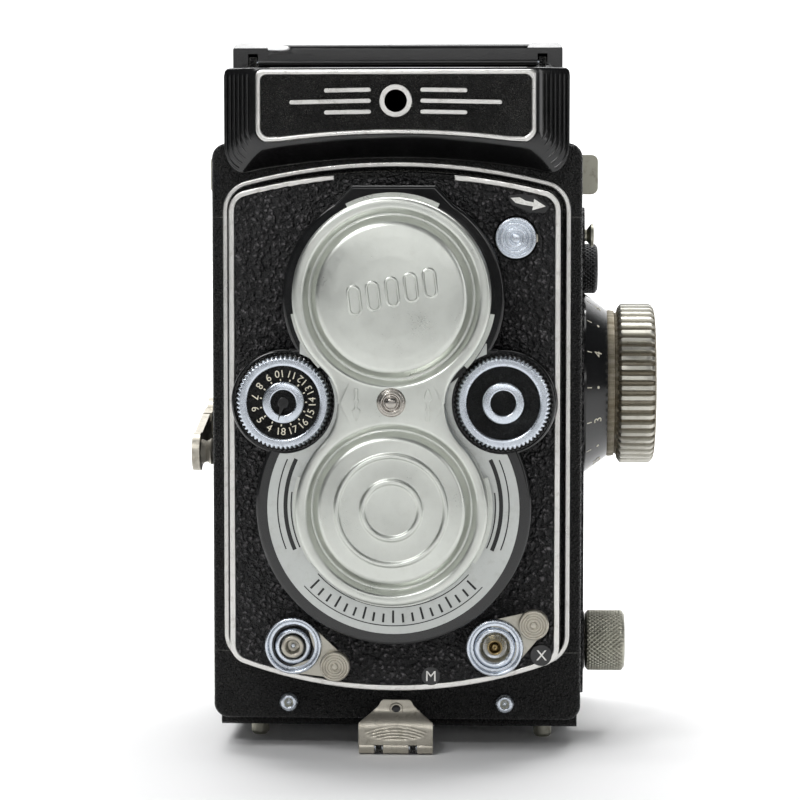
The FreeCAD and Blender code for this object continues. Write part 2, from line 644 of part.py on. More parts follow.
# ---------------------------------------------------------------- hinged back with base plate
DOOR_TOP = 117.2
BASE_FRONT = -24.5       # the base plate starts behind the front frame


def make_door():
    """L-shaped back and base in one, with the middle knuckle of its hinge."""
    back = box(-HALF_WIDTH, HALF_WIDTH, BACK_Y + 0.2, DOOR_Y, 0, DOOR_TOP)
    base = box(-HALF_WIDTH + 0.6, HALF_WIDTH - 0.6, BASE_FRONT, DOOR_Y - 2.0, 0, BASE_THICK)
    base = round_edges(base, 1.2, edges_along(base, V(1, 0, 0), lambda p: p.y < 0 and p.z < 1))
    panel = join([back, base])
    panel = round_edges(panel, 2.0, edges_along(panel, V(1, 0, 0), lambda p: p.y > 34.9 and p.z < 1))
    panel = round_edges(panel, 3.0, edges_along(panel, V(0, 0, 1), lambda p: p.y > 34.9))
    spool_room = cyl_x(12.9, -34, 35, TAKEUP_Y, TAKEUP_Z)
    socket_seat = cyl_z(8.05, -1, BASE_THICK + 1, 0, 0)
    barrel = cyl_x(1.7, -11.7, 11.7, DOOR_HINGE_Y, DOOR_HINGE_Z)
    web = box(-11.7, 11.7, 32.6, 34.6, DOOR_TOP - 1, DOOR_HINGE_Z)
    pin_hole = cyl_x(0.86, -13, 13, DOOR_HINGE_Y, DOOR_HINGE_Z)
    whole = cut(join([panel, barrel, web]), spool_room, socket_seat, pin_hole)
    fold = BACK_Y + 0.2
    return group([parted(whole, -40, 40, -40, fold, -1, 130), parted(whole, -40, 40, fold, 40, -1, 130)])


PARTS["back_door"] = make_door()
door_pin = cyl_x(0.8, -30.0, 30.0, DOOR_HINGE_Y, DOOR_HINGE_Z)
back_leather = box(-34.0, 34.0, DOOR_Y, DOOR_Y + SKIN, 5.0, 113.0)
PARTS["back_leather"] = round_edges(back_leather, 4.0, edges_along(back_leather, V(0, 1, 0)))
plate = box(-31.0, 31.0, 27.0, 28.0, 18.5, 76.5)
plate = round_edges(plate, 2.0, edges_along(plate, V(0, 1, 0)))
posts = [cyl_y(2.0, 27.9, BACK_Y + 0.2, x, z) for x in (-20, 20) for z in (30, 65)]
PARTS["pressure_plate"] = join([plate] + posts)
socket_boss = turned_z(
    [(3.175, 0), (7.4, 0), (8.0, 0.5), (8.0, BASE_THICK), (6.8, BASE_THICK), (6.8, 4.4), (0, 4.4),
     (0, 3.6), (3.175, 3.6)],
    0, 0,
)
PARTS["tripod_socket"] = socket_boss
FOOT_LOW = -3.8
FOOT_PLACES = [(sx * 30.0, y) for sx in (-1, 1) for y in (-14.0, 28.5)]
PARTS["feet"] = group(
    [turned_z([(0, 0), (1.9, 0), (1.9, FOOT_LOW + 0.6), (1.4, FOOT_LOW), (0, FOOT_LOW)], x, y) for x, y in FOOT_PLACES]
)


# ---------------------------------------------------------------- catch at the front of the base
def make_catch():
    """Bent plate with a rolled lower edge, hinged on a cross pin."""
    side = [
        (CATCH_Y - 1.2, CATCH_Z), (CATCH_Y - 1.4, 1.2), (CATCH_Y - 0.2, 2.9), (CATCH_Y + 0.7, 4.4),
        (CATCH_Y + 0.9, 7.6), (CATCH_Y + 1.9, 7.6), (CATCH_Y + 1.9, 4.2), (CATCH_Y + 0.9, 2.4),
        (CATCH_Y - 0.2, 1.0), (CATCH_Y - 0.1, CATCH_Z),
    ]
    strip = prism_x(side, -CATCH_HALF, CATCH_HALF)
    outline = [
        (-CATCH_HALF, CATCH_Z - 2), (CATCH_HALF, CATCH_Z - 2), (CATCH_HALF, 2.6), (5.4, 4.2),
        (3.0, 7.3), (-3.0, 7.3), (-5.4, 4.2), (-CATCH_HALF, 2.6),
    ]
    strip = strip.common(prism_y(outline, CATCH_Y - 4, CATCH_Y + 4))
    roll = cyl_x(1.35, -CATCH_HALF, CATCH_HALF, CATCH_Y, CATCH_Z)
    stud_hole = cyl_y(1.0, CATCH_Y - 4, CATCH_Y + 4, 0, 5.3)
    pin_hole = cyl_x(0.66, -CATCH_HALF - 1, CATCH_HALF + 1, CATCH_Y, CATCH_Z)
    slots = [
        box(sx * 3.5 - 0.8, sx * 3.5 + 0.8, CATCH_Y - 2, CATCH_Y + 2, CATCH_Z - 2, CATCH_Z + 1.9) for sx in (-1, 1)
    ]
    return cut(join([strip, roll]), stud_hole, pin_hole, *slots)


PARTS["door_catch"] = make_catch()
catch_pin = cyl_x(0.6, -CATCH_HALF + 0.2, CATCH_HALF - 0.2, CATCH_Y, CATCH_Z)

# ---------------------------------------------------------------- hood housing and name plate
HOOD_X, HOOD_WALL = 33.4, 1.5
HOOD_Y = (FRONT_Y, 31.0)
HOOD_TOP = 136.2
SIDE_EARS = (-14.0, 14.0)      # knuckles of the side panels, along Y


def make_hood_housing():
    """Open frame on top of the casting, with hinge seats for the folding panels."""
    outer = box(-HOOD_X, HOOD_X, HOOD_Y[0], HOOD_Y[1], TOP_Z, HOOD_TOP)
    outer = round_edges(outer, 2.5, edges_along(outer, V(0, 0, 1), lambda p: p.y > 0))
    inner = box(-HOOD_X + HOOD_WALL, HOOD_X - HOOD_WALL, HOOD_Y[0] + 2.0, HOOD_Y[1] - HOOD_WALL, TOP_Z + 2.5, HOOD_TOP + 1)
    well = box(-SCREEN_X, SCREEN_X, SCREEN_Y[0], SCREEN_Y[1], TOP_Z - 1, TOP_Z + 3)
    lid_room = box(-HOOD_X - 1, HOOD_X + 1, HOOD_Y[0] + 2.2, HOOD_Y[1] + 1, 135.0, HOOD_TOP + 1)
    barrel_room = cyl_x(1.2, -28.4, 28.4, REAR_Y, REAR_Z)
    frame = cut(outer, inner, well, lid_room, barrel_room)
    lugs = []
    for sx in (-1, 1):
        web = box(28.8, HOOD_X - HOOD_WALL + 0.1, -29.5, -27.5, TOP_Z + 2, 134.8)
        lid_ear = box(28.8, 30.2, LID_Y - 1.2, LID_Y + 1.2, TOP_Z + 2, LID_Z + 1.0)
        rear_ear = box(24.0, 26.4, REAR_Y - 0.9, HOOD_Y[1] - HOOD_WALL + 0.1, 133.9, REAR_Z + 0.9)
        side_ears = [box(29.6, HOOD_X - HOOD_WALL + 0.1, y - 1.2, y + 1.2, 129.6, 131.4) for y in SIDE_EARS]
        for one in [web, lid_ear, rear_ear] + side_ears:
            lugs.append(one if sx > 0 else mirrored(one))
    pin_holes = [cyl_x(0.6, -40, 40, LID_Y, LID_Z), cyl_x(0.55, -40, 40, REAR_Y, REAR_Z)]
    pin_holes += [cyl_y(0.55, -20, 20, sx * SIDE_X, SIDE_Z) for sx in (-1, 1)]
    return cut(join([frame] + lugs), *pin_holes)


PARTS["hood_housing"] = make_hood_housing()
lid_pin = cyl_x(0.55, -30.2, 30.2, LID_Y, LID_Z)
rear_pin = cyl_x(0.5, -26.4, 26.4, REAR_Y, REAR_Z)
side_pins = [cyl_y(0.5, -18.0, 18.0, sx * SIDE_X, SIDE_Z) for sx in (-1, 1)]
PARTS["hinge_pins"] = group([idler_pin, door_pin, catch_pin, lid_pin, rear_pin] + side_pins)

PLATE_Y = (FRONT_Y - 3.4, FRONT_Y)


def plate_section(half, low, y, corner):
    """Outline of the name plate's block across Y, with cut lower corners."""
    points = [(-half, HOOD_TOP), (-half, low + corner), (-half + corner, low), (half - corner, low),
              (half, low + corner), (half, HOOD_TOP)]
    return Part.makePolygon([V(x, y, z) for x, z in points + points[:1]])


name_plate = Part.makeLoft(
    [plate_section(35.0, 113.8, PLATE_Y[1], 4.6), plate_section(34.7, 114.2, PLATE_Y[1] - 0.5, 4.6),
     plate_section(29.0, 118.6, PLATE_Y[0], 3.0)],
    True, True,
)
arch = Part.makeCone(
    TOP_RADIUS + 0.9, TOP_RADIUS + 4.2, 3.4, V(0, PLATE_Y[1], TRIM_TOP - TOP_RADIUS), V(0, -1, 0)
)
PARTS["name_plate"] = cut(name_plate, arch)


def arched_field(half, top, low, y0, y1, corner):
    """Plate with a flat top and a lower edge that arches up in the middle."""
    plate = box(-half, half, y0, y1, low - 3.0, top)
    plate = plate.cut(cyl_y(180.0, y0 - 1, y1 + 1, 0, low - 180.0))
    return round_edges(plate, corner, edges_along(plate, V(0, 1, 0)))


border_y = (PLATE_Y[0] - 0.7, PLATE_Y[0])
border = arched_field(28.3, 135.7, 122.6, border_y[0], border_y[1], 2.6)
border = cut(border, arched_field(27.2, 134.6, 123.7, -40, -30, 1.6))
ornament = [cyl_y(3.6, border_y[0] + 0.2, border_y[1], 0, 128.9)]
for k in range(4):
    bar = box(5.0 + 4.4 * k, 8.2 + 4.4 * k, border_y[0] + 0.2, border_y[1], 127.4 + 0.3 * k, 130.4 - 0.3 * k)
    ornament += [bar, mirrored(bar)]
PARTS["plate_border"] = group([border] + ornament)

# ---------------------------------------------------------------- folding hood panels
LID_LOW, LID_DECK, LID_HIGH, LID_BACK = 137.0, 138.6, 141.6, 144.6


def make_lid():
    """Lid with two raised rounded side rails, a rear rail and a recessed middle."""
    deck = box(-33.6, 33.6, LID_Y - 1.0, 31.3, LID_LOW, LID_DECK)
    rails = []
    rail_side = [
        (LID_Y - 1.0, LID_LOW), (LID_Y - 1.0, LID_HIGH - 1.2), (LID_Y + 0.6, LID_HIGH), (28.6, LID_BACK - 0.3),
        (31.3, LID_BACK - 1.2), (31.3, LID_LOW),
    ]
    for sx in (-1, 1):
        rail = prism_x(rail_side, 26.4, 33.6)
        rail = round_edges(rail, 1.6, [e for e in rail.Edges if e.BoundBox.ZMin > 140.5 and e.BoundBox.XLength < 0.01])
        skirt = box(31.7, 33.6, LID_Y - 1.0, 31.3, 135.3, LID_LOW + 0.1)
        rails += [rail, skirt] if sx > 0 else [mirrored(rail), mirrored(skirt)]
    back = box(-33.0, 33.0, 28.0, 31.3, LID_LOW, LID_BACK)
    back = round_edges(back, 1.2, edges_along(back, V(1, 0, 0), lambda p: p.z > 142))
    barrel = cyl_x(1.1, -28.4, 28.4, LID_Y, LID_Z)
    lid = join([deck, back, barrel] + rails)
    ears = [cyl_x(2.0, sx * 29.5 - 1.0, sx * 29.5 + 1.0, LID_Y, LID_Z) for sx in (-1, 1)]
    flap_window = box(-12.3, 12.3, 4.7, 25.3, LID_LOW - 1, LID_DECK + 1)
    lens_window = cyl_z(9.0, LID_LOW - 1, LID_DECK + 1, 0, -11.0)
    bore = cyl_x(0.6, -40, 40, LID_Y, LID_Z)
    return cut(lid, flap_window, lens_window, bore, *ears)


PARTS["hood_lid"] = make_lid()
hinge_leaves = []
for sx in (-1, 1):
    leaf = box(17.8, 26.0, LID_Y - 0.6, LID_Y + 5.0, LID_DECK, LID_DECK + 0.7)
    hinge_leaves.append(leaf if sx > 0 else mirrored(leaf))
PARTS["lid_leaves"] = group(hinge_leaves)
magnifier = box(-11.5, 11.5, -20.5, -1.5, 135.4, LID_LOW)
magnifier = round_edges(magnifier, 2.0, edges_along(magnifier, V(0, 0, 1)))
PARTS["magnifier_frame"] = cut(magnifier, cyl_z(8.2, 135, 138, 0, -11.0))
lens_ball = 40.0
magnifier_lens = cyl_z(8.2, 135.5, 138.4, 0, -11.0).common(
    Part.makeSphere(lens_ball, V(0, -11.0, 138.3 - lens_ball))
)
PARTS["magnifier_lens"] = magnifier_lens.common(
    Part.makeSphere(lens_ball, V(0, -11.0, 135.6 + lens_ball))
)
flap = box(-12.0, 12.0, 5.0, 25.0, LID_LOW, LID_DECK - 0.2)
flap = round_edges(flap, 1.2, edges_along(flap, V(0, 0, 1)))
flap_hinge = cyl_x(0.5, -12.3, 12.3, 5.6, LID_DECK - 0.9)
PARTS["finder_flap"] = join([flap, flap_hinge])

REAR_REACH, SIDE_REACH = 28.0, 27.6


def make_rear_panel():
    """Rear panel folded forward, with hinge barrels between the housing's ears."""
    sheet = box(-28.0, 28.0, REAR_Y - REAR_REACH, REAR_Y, REAR_Z - 0.4, REAR_Z + 0.4)
    sheet = bevel_edges(sheet, 3.0, edges_along(sheet, V(0, 0, 1), lambda p: p.y < 10))
    barrel = cyl_x(0.9, -28.0, 28.0, REAR_Y, REAR_Z)
    ear_room = [box(sx * 25.2 - 1.5, sx * 25.2 + 1.5, REAR_Y - 1.5, REAR_Y + 2, 133, 138) for sx in (-1, 1)]
    return cut(join([sheet, barrel]), cyl_x(0.55, -40, 40, REAR_Y, REAR_Z), *ear_room)


PARTS["hood_rear"] = make_rear_panel()


def side_reach(y):
    """How far a side panel may reach without meeting the lid or the rear panel as they rise."""
    from_lid = max(0.0, y - LID_Y - 1.2)
    from_rear = max(0.0, REAR_Y - y - 1.0)
    under_lid = (from_lid ** (2 / 3) + (LID_Z - SIDE_Z - 2.6) ** (2 / 3)) ** 1.5
    under_rear = (from_rear ** (2 / 3) + (REAR_Z - SIDE_Z - 1.2) ** (2 / 3)) ** 1.5
    return min(SIDE_REACH, under_lid, under_rear)


def make_side_panel():
    """Side panel on the +X side, folded flat towards the middle."""
    y_first, y_last, steps = -25.5, 27.5, 26
    points = [(SIDE_X, y_first), (SIDE_X, y_last)]
    for k in range(steps + 1):
        y = y_last + (y_first - y_last) * k / steps
        points.append((SIDE_X - side_reach(y), y))
    sheet = prism_z(points, SIDE_Z - 0.3, SIDE_Z + 0.3)
    barrel = cyl_y(0.9, -18.0, 18.0, SIDE_X, SIDE_Z)
    ear_room = [box(SIDE_X - 1.4, SIDE_X + 2, y - 1.5, y + 1.5, 128, 133) for y in SIDE_EARS]
    return cut(join([sheet, barrel]), cyl_y(0.55, -40, 40, SIDE_X, SIDE_Z), *ear_room)


side_panel = make_side_panel()
PARTS["hood_side_right"] = side_panel
PARTS["hood_side_left"] = mirrored(side_panel)

# ---------------------------------------------------------------- lens board
PLATE_BACK = BOARD_Y + 2.5
BOARD_REAR = -30.5
RELEASE_X, RELEASE_Z = -20.4, 19.7
SYNC_X, SYNC_Z = 20.3, 19.6
LOCK_X, LOCK_Z = -11.9, 15.7
SLIDER_X, SLIDER_Z = 28.1, 24.4
TIMER_X, TIMER_Z = 24.3, 101.9
NECK_RADIUS = 4.25
HOUSING_Y = -46.0
LOWER_HOUSING, UPPER_HOUSING = 27.6, 22.2


def make_lens_board():
    """Tray-shaped board: front plate with a deep rim that slides in the casting."""
    block = board_block(BOARD_Y, BOARD_REAR, 0)
    block = round_edges(block, 0.5, edges_on_plane(block, "Y", BOARD_Y))
    inside = board_block(PLATE_BACK, BOARD_REAR + 1, -2.0)
    holes = [
        cyl_y(12.0, BOARD_Y - 1, PLATE_BACK + 1, 0, VIEW_Z),
        cyl_y(15.0, BOARD_Y - 1, PLATE_BACK + 1, 0, TAKE_Z),
        cyl_y(3.65, BOARD_Y - 1, PLATE_BACK + 1, RELEASE_X, RELEASE_Z),
        cyl_y(NECK_RADIUS, BOARD_Y - 1, PLATE_BACK + 1, SYNC_X, SYNC_Z),
        cyl_y(1.05, BOARD_Y - 1, PLATE_BACK + 1, TIMER_X, TIMER_Z),
    ]
    holes += [cyl_y(2.1, BOARD_Y - 1, PLATE_BACK + 1, sx * WHEEL_X, WHEEL_Z) for sx in (-1, 1)]
    tray = cut(block, inside, *holes)
    rear = (PLATE_BACK, BOARD_REAR + 1)
    return group([
        parted(tray, -40, 40, BOARD_Y - 1, rear[0], 0, 120),
        parted(tray, -40, 40, rear[0], rear[1], 0, 19.0),
        parted(tray, -40, 0, rear[0], rear[1], 19.0, 106.0),
        parted(tray, 0, 40, rear[0], rear[1], 19.0, 106.0),
        parted(tray, -40, 40, rear[0], rear[1], 106.0, 120),
    ])


PARTS["lens_board"] = make_lens_board()
bead = cut(board_block(BOARD_Y - 0.5, BOARD_Y, 0), board_block(BOARD_Y - 2, BOARD_Y + 1, -1.1))
bead = cut(bead, box(-12.0, 12.0, BOARD_Y - 2, BOARD_Y + 1, 100, 120))


def housing_outline(y0, y1, grow):
    """Figure of eight with a flat-topped hump, shared by the housing and the leather's opening."""
    lower = cyl_y(LOWER_HOUSING + grow, y0, y1, 0, TAKE_Z)
    upper = cyl_y(UPPER_HOUSING + grow, y0, y1, 0, VIEW_Z)
    wheels = [cyl_y(10.6 + grow, y0, y1, sx * WHEEL_X, WHEEL_Z) for sx in (-1, 1)]
    middle = box(-21.0, 21.0, y0, y1, 66.0, 80.0)
    hump = prism_y(
        [(-13.0 - grow, 105.0), (13.0 + grow, 105.0), (13.0 + grow, 107.6), (8.4 + grow, 112.4 + grow),
         (-8.4 - grow, 112.4 + grow), (-13.0 - grow, 107.6)],
        y0, y1,
    )
    return join([lower, upper, middle, hump] + wheels)


bead = cut(bead, housing_outline(-45, -40, 0.05))
PARTS["board_trim"] = round_edges(bead, 0.25, edges_on_plane(bead, "Y", BOARD_Y - 0.5))
leather = board_block(BOARD_Y - 0.45, BOARD_Y, -1.15)
leather = cut(leather, housing_outline(-45, -40, 0.1))
leather_holes = [
    cyl_y(NECK_RADIUS + 0.15, -45, -40, RELEASE_X, RELEASE_Z),
    cyl_y(NECK_RADIUS + 0.15, -45, -40, SYNC_X, SYNC_Z),
    cyl_y(4.5, -45, -40, TIMER_X, TIMER_Z),
]
PARTS["front_leather"] = cut(leather, *leather_holes)
WHEEL_FLOOR = -44.2
housing = housing_outline(HOUSING_Y, BOARD_Y, 0)
housing = round_edges(housing, 0.7, edges_on_plane(housing, "Y", HOUSING_Y))
wheel_pockets = [cyl_y(10.15, HOUSING_Y - 1, WHEEL_FLOOR, sx * WHEEL_X, WHEEL_Z) for sx in (-1, 1)]
wheel_bores = [cyl_y(2.05, -47, -41, sx * WHEEL_X, WHEEL_Z) for sx in (-1, 1)]
housing = cut(
    housing, cyl_y(12.0, -48, -40, 0, VIEW_Z), cyl_y(15.0, -48, -40, 0, TAKE_Z), *wheel_pockets, *wheel_bores
)
PARTS["lens_housing"] = housing

FACE_Y = HOUSING_Y - 0.8
face = cyl_y(25.2, FACE_Y, HOUSING_Y, 0, TAKE_Z)
bridge = box(-18.6, 18.6, FACE_Y, HOUSING_Y, 60.0, 81.0)
face = cut(
    join([face, bridge]),
    cyl_y(15.0, -48, -40, 0, TAKE_Z),
    cyl_y(20.4, -48, -40, 0, VIEW_Z),
    *[cyl_y(10.25, -48, -40, sx * WHEEL_X, WHEEL_Z) for sx in (-1, 1)],
)
PARTS["shutter_face"] = face

# Lens barrels with bayonet lips, and their glass
view_barrel = turned_y(
    [(10.5, PLATE_BACK), (12.0, PLATE_BACK), (12.0, HOUSING_Y), (17.0, HOUSING_Y), (17.0, -51.6),
     (15.4, -51.6), (13.6, -50.2), (13.6, -48.8), (10.5, -48.8)],
    0, VIEW_Z,
)
take_barrel = turned_y(
    [(9.5, PLATE_BACK), (15.0, PLATE_BACK), (15.0, FACE_Y), (16.6, FACE_Y), (16.6, -51.6),
     (15.2, -51.6), (11.6, -49.6), (11.6, -48.4), (9.5, -48.4)],
    0, TAKE_Z,
)
bayonet_lips = []
for z, radius, spread in ((VIEW_Z, 17.0, (90.0, 210.0, 330.0)), (TAKE_Z, 16.6, (90.0, 210.0, 330.0))):
    for angle in spread:
        lip = ring_y(radius + 0.9, radius - 0.5, -51.4, -50.4, 0, z)
        wedge = prism_y([(0, z), (40, z - 10), (40, z + 10)], -52, -50)
        wedge.rotate(V(0, 0, z), V(0, 1, 0), -angle)
        bayonet_lips.append(lip.common(wedge))
PARTS["view_barrel"] = join([view_barrel] + bayonet_lips[:3])
PARTS["take_barrel"] = join([take_barrel] + bayonet_lips[3:])


def lens_glass(radius, z, front, back, front_ball, back_ball):
    """Biconvex element between two curved faces."""
    element = cyl_y(radius, front, back, 0, z)
    element = element.common(Part.makeSphere(front_ball, V(0, front + front_ball, z)))
    return element.common(Part.makeSphere(back_ball, V(0, back - back_ball, z)))


view_glass = lens_glass(10.5, VIEW_Z, -49.9, -44.0, 34.0, 60.0)
take_glass = lens_glass(9.5, TAKE_Z, -49.2, -45.0, 30.0, 50.0)
PARTS["lens_glass"] = group([view_glass, take_glass])
SHUTTER_REAR = -31.5
shutter_case = turned_y(
    [(9.5, PLATE_BACK), (24.0, PLATE_BACK), (24.0, -34.0), (22.0, SHUTTER_REAR), (9.5, SHUTTER_REAR)], 0, TAKE_Z
)
iris_disc = cyl_y(9.5, -38.6, -38.2, 0, TAKE_Z)
iris_hole = prism_y(
    [(3.4 * math.cos(math.radians(a)), TAKE_Z + 3.4 * math.sin(math.radians(a))) for a in range(18, 378, 72)],
    -39, -38,
)
PARTS["shutter_case"] = group([shutter_case, cut(iris_disc, iris_hole)])
guide_rods = [cyl_y(ROD_RADIUS, PLATE_BACK, -18.4, x, z) for x, z in ROD_PLACES]
follower_tip = KNOB_Y - CAM_HIGH - 0.1
follower = join(
    [box(27.0, 31.1, PLATE_BACK, PLATE_BACK + 1.5, KNOB_Z - 3.0, KNOB_Z + 3.0),
     box(29.3, 31.1, PLATE_BACK, -29.4, KNOB_Z - 1.0, KNOB_Z + 1.0),
     box(29.3, 32.8, -30.4, -29.4, KNOB_Z - 1.0, KNOB_Z + 1.0),
     box(31.2, 32.8, -30.4, follower_tip - 1.0, KNOB_Z - 1.0, KNOB_Z + 1.0),
     cyl_x(1.0, 31.2, 32.8, follower_tip - 1.0, KNOB_Z)]
)
PARTS["carriage_rods"] = group(guide_rods + [follower])

# Shutter release, with its collar and lock
release_collar = turned_y(
    [(3.65, BOARD_Y), (NECK_RADIUS, BOARD_Y), (NECK_RADIUS, BOARD_Y - 1.0), (5.8, BOARD_Y - 1.0),
     (5.7, BOARD_Y - 1.5), (5.3, BOARD_Y - 1.75), (4.9, BOARD_Y - 1.6), (4.6, BOARD_Y - 1.3),
     (3.65, BOARD_Y - 1.3)],
    RELEASE_X, RELEASE_Z,
)
PARTS["release_button"] = turned_y(
    [(1.1, BOARD_Y - 2.6), (2.9, BOARD_Y - 2.6), (3.6, BOARD_Y - 2.2), (3.6, PLATE_BACK + 0.5),
     (4.6, PLATE_BACK + 0.5), (4.6, PLATE_BACK + 1.2), (0, PLATE_BACK + 1.2), (0, BOARD_Y + 0.6), (1.1, BOARD_Y + 0.6)],
    RELEASE_X, RELEASE_Z,
)


def grooved_knob(x, z, radius, high, low):
    """Small turned knob with a groove round its face."""
    return turned_y(
        [(0, high), (radius * 0.25, high), (radius * 0.35, high + 0.25), (radius * 0.55, high + 0.25),
         (radius * 0.65, high), (radius * 0.85, high), (radius, high + 0.3), (radius, low), (0, low)],
        x, z,
    )


LEVER_Y = (BOARD_Y - 0.95, BOARD_Y - 0.55)


def swing_lever(pivot_x, pivot_z, x, z):
    """Flat lever turning on a collar's neck, with a turned knob at its end."""
    dx, dz = x - pivot_x, z - pivot_z
    length = math.hypot(dx, dz)
    sx, sz = -dz / length, dx / length
    web = prism_y(
        [(pivot_x + 5.4 * sx, pivot_z + 5.4 * sz), (x + 2.6 * sx, z + 2.6 * sz),
         (x - 2.6 * sx, z - 2.6 * sz), (pivot_x - 5.4 * sx, pivot_z - 5.4 * sz)],
        LEVER_Y[0], LEVER_Y[1],
    )
    eye = cyl_y(5.6, LEVER_Y[0], LEVER_Y[1], pivot_x, pivot_z)
    bore = cyl_y(NECK_RADIUS + 0.06, LEVER_Y[0] - 1, LEVER_Y[1] + 1, pivot_x, pivot_z)
    return join([cut(join([web, eye]), bore), grooved_knob(x, z, 3.0, BOARD_Y - 2.6, LEVER_Y[1])])


PARTS["release_lock"] = swing_lever(RELEASE_X, RELEASE_Z, LOCK_X, LOCK_Z)
PARTS["sync_slider"] = swing_lever(SYNC_X, SYNC_Z, SLIDER_X, SLIDER_Z)
timer_tab = prism_y(
    [(TIMER_X + 2.0, TIMER_Z - 1.2), (TIMER_X + 4.4, TIMER_Z - 0.7), (TIMER_X + 4.4, TIMER_Z + 0.7), (TIMER_X + 2.0, TIMER_Z + 1.2)],
    BOARD_Y - 1.9, BOARD_Y - 1.0,
)
timer_pivot = cyl_y(1.0, BOARD_Y - 1.0, PLATE_BACK + 0.8, TIMER_X, TIMER_Z)
timer_knob = grooved_knob(TIMER_X, TIMER_Z, 4.1, BOARD_Y - 3.0, BOARD_Y - 0.9)
PARTS["timer_knob"] = join([timer_knob, timer_tab, timer_pivot])
sync_shell = turned_y(
    [(NECK_RADIUS, PLATE_BACK), (NECK_RADIUS, BOARD_Y - 1.0), (5.8, BOARD_Y - 1.0), (5.7, BOARD_Y - 1.5),
     (5.3, BOARD_Y - 1.75), (4.5, BOARD_Y - 1.5), (3.9, BOARD_Y), (2.4, BOARD_Y), (2.4, BOARD_Y - 1.2), (2.0, BOARD_Y - 1.2),
     (2.0, PLATE_BACK - 0.6), (0.7, PLATE_BACK - 0.6), (0.7, BOARD_Y - 0.4), (0, BOARD_Y - 0.4), (0, PLATE_BACK)],
    SYNC_X, SYNC_Z,
)
PARTS["port_collars"] = group([release_collar, sync_shell])

# ---------------------------------------------------------------- setting wheels
def setting_wheel(x):
    """Knurled thumbwheel on a shaft through the housing."""
    skirt_profile = [(0, -45.4), (9.9, -45.4), (9.9, WHEEL_FLOOR - 0.2), (0, WHEEL_FLOOR - 0.2)]
    rim_profile = [(0, -47.0), (7.3, -47.0), (7.5, -47.7), (9.0, -47.7), (9.3, -47.4), (9.3, -45.3), (0, -45.3)]
    wheel = join([turned_y(skirt_profile, x, WHEEL_Z), turned_y(rim_profile, x, WHEEL_Z), cyl_y(2.0, -45, -41.4, x, WHEEL_Z)])
    groove = box(x + 9.05, x + 10.5, -48.5, -45.5, WHEEL_Z - 0.17, WHEEL_Z + 0.17)
    return cut(wheel, *around(groove, V(x, 0, WHEEL_Z), V(0, 1, 0), 60))


PARTS["aperture_wheel"] = setting_wheel(-WHEEL_X)
PARTS["shutter_wheel"] = setting_wheel(WHEEL_X)


def wheel_dial(x):
    """Dial plate in the face of a setting wheel, with its bright hub ring."""
    return turned_y(
        [(0, -47.0), (7.2, -47.0), (7.2, -47.25), (4.2, -47.3), (4.1, -47.8), (2.6, -47.8), (2.5, -47.3), (0, -47.3)],
        x, WHEEL_Z,
    )


PARTS["aperture_dial"] = wheel_dial(-WHEEL_X)
PARTS["shutter_dial"] = wheel_dial(WHEEL_X)

# ---------------------------------------------------------------- twin lens cap
CAP_OPEN_Y, CAP_FACE_Y = -48.3, -54.4
CAP_UPPER, CAP_LOWER, CAP_WAIST = 19.6, 19.0, 9.6


def cap_outline(y0, y1, shrink):
    """Figure of eight over both lenses, with a straight waist."""
    upper = cyl_y(CAP_UPPER - shrink, y0, y1, 0, VIEW_Z)
    lower = cyl_y(CAP_LOWER - shrink, y0, y1, 0, TAKE_Z)
    waist = box(-CAP_WAIST + shrink, CAP_WAIST - shrink, y0, y1, TAKE_Z + 10, VIEW_Z - 10)
    return join([upper, lower, waist])


def make_cap():
    """Thin pressed shell with turned grooves in both round faces."""
    outer = cap_outline(CAP_FACE_Y, CAP_OPEN_Y, 0)
    outer = round_edges(outer, 0.8, edges_on_plane(outer, "Y", CAP_FACE_Y))
    inner = cap_outline(CAP_FACE_Y + 1.4, CAP_OPEN_Y + 1, 1.0)
    grooves = [
        turned_y([(15.3, -56), (17.0, -56), (17.0, CAP_FACE_Y), (15.6, CAP_FACE_Y + 0.8), (15.3, CAP_FACE_Y + 0.8)], 0, z)
        for z in (VIEW_Z, TAKE_Z)
    ]
    tab = box(-6.6, 6.6, CAP_FACE_Y + 1.2, CAP_OPEN_Y, VIEW_Z + CAP_UPPER - 1.5, VIEW_Z + CAP_UPPER + 0.6)
    return cut(join([outer, tab]), inner, *grooves)


PARTS["cap_shell"] = make_cap()
ball = (15.0**2 + 1.0**2) / 2
upper_dome = Part.makeSphere(ball, V(0, CAP_FACE_Y - 1.0 + ball, VIEW_Z))
upper_dome = upper_dome.common(cyl_y(14.8, CAP_FACE_Y - 2, CAP_FACE_Y, 0, VIEW_Z))
lower_rings = [
    ring_y(11.2, 10.3, CAP_FACE_Y - 0.5, CAP_FACE_Y, 0, TAKE_Z),
    ring_y(6.2, 5.1, CAP_FACE_Y - 0.5, CAP_FACE_Y, 0, TAKE_Z),
]
CAP_RIVET_Z = 69.5
cap_rivet = turned_y(
    [(0, CAP_FACE_Y), (3.0, CAP_FACE_Y), (2.8, CAP_FACE_Y - 0.5), (1.2, CAP_FACE_Y - 0.6), (0.9, CAP_FACE_Y - 1.0), (0, CAP_FACE_Y - 1.1)],
    0, CAP_RIVET_Z,
)
PARTS["cap_faces"] = group([upper_dome, cap_rivet] + lower_rings)

# ---------------------------------------------------------------- write every node
os.makedirs("parts", exist_ok=True)
for name, shape in PARTS.items():
    solids = shape.Solids
    if not shape.isValid() or not solids:
        print("PROBLEM", name, shape.isValid(), len(solids))
    shape.exportStep("parts/" + name + ".step")
    print(name, len(solids), round(sum(one.Volume for one in solids), 1))
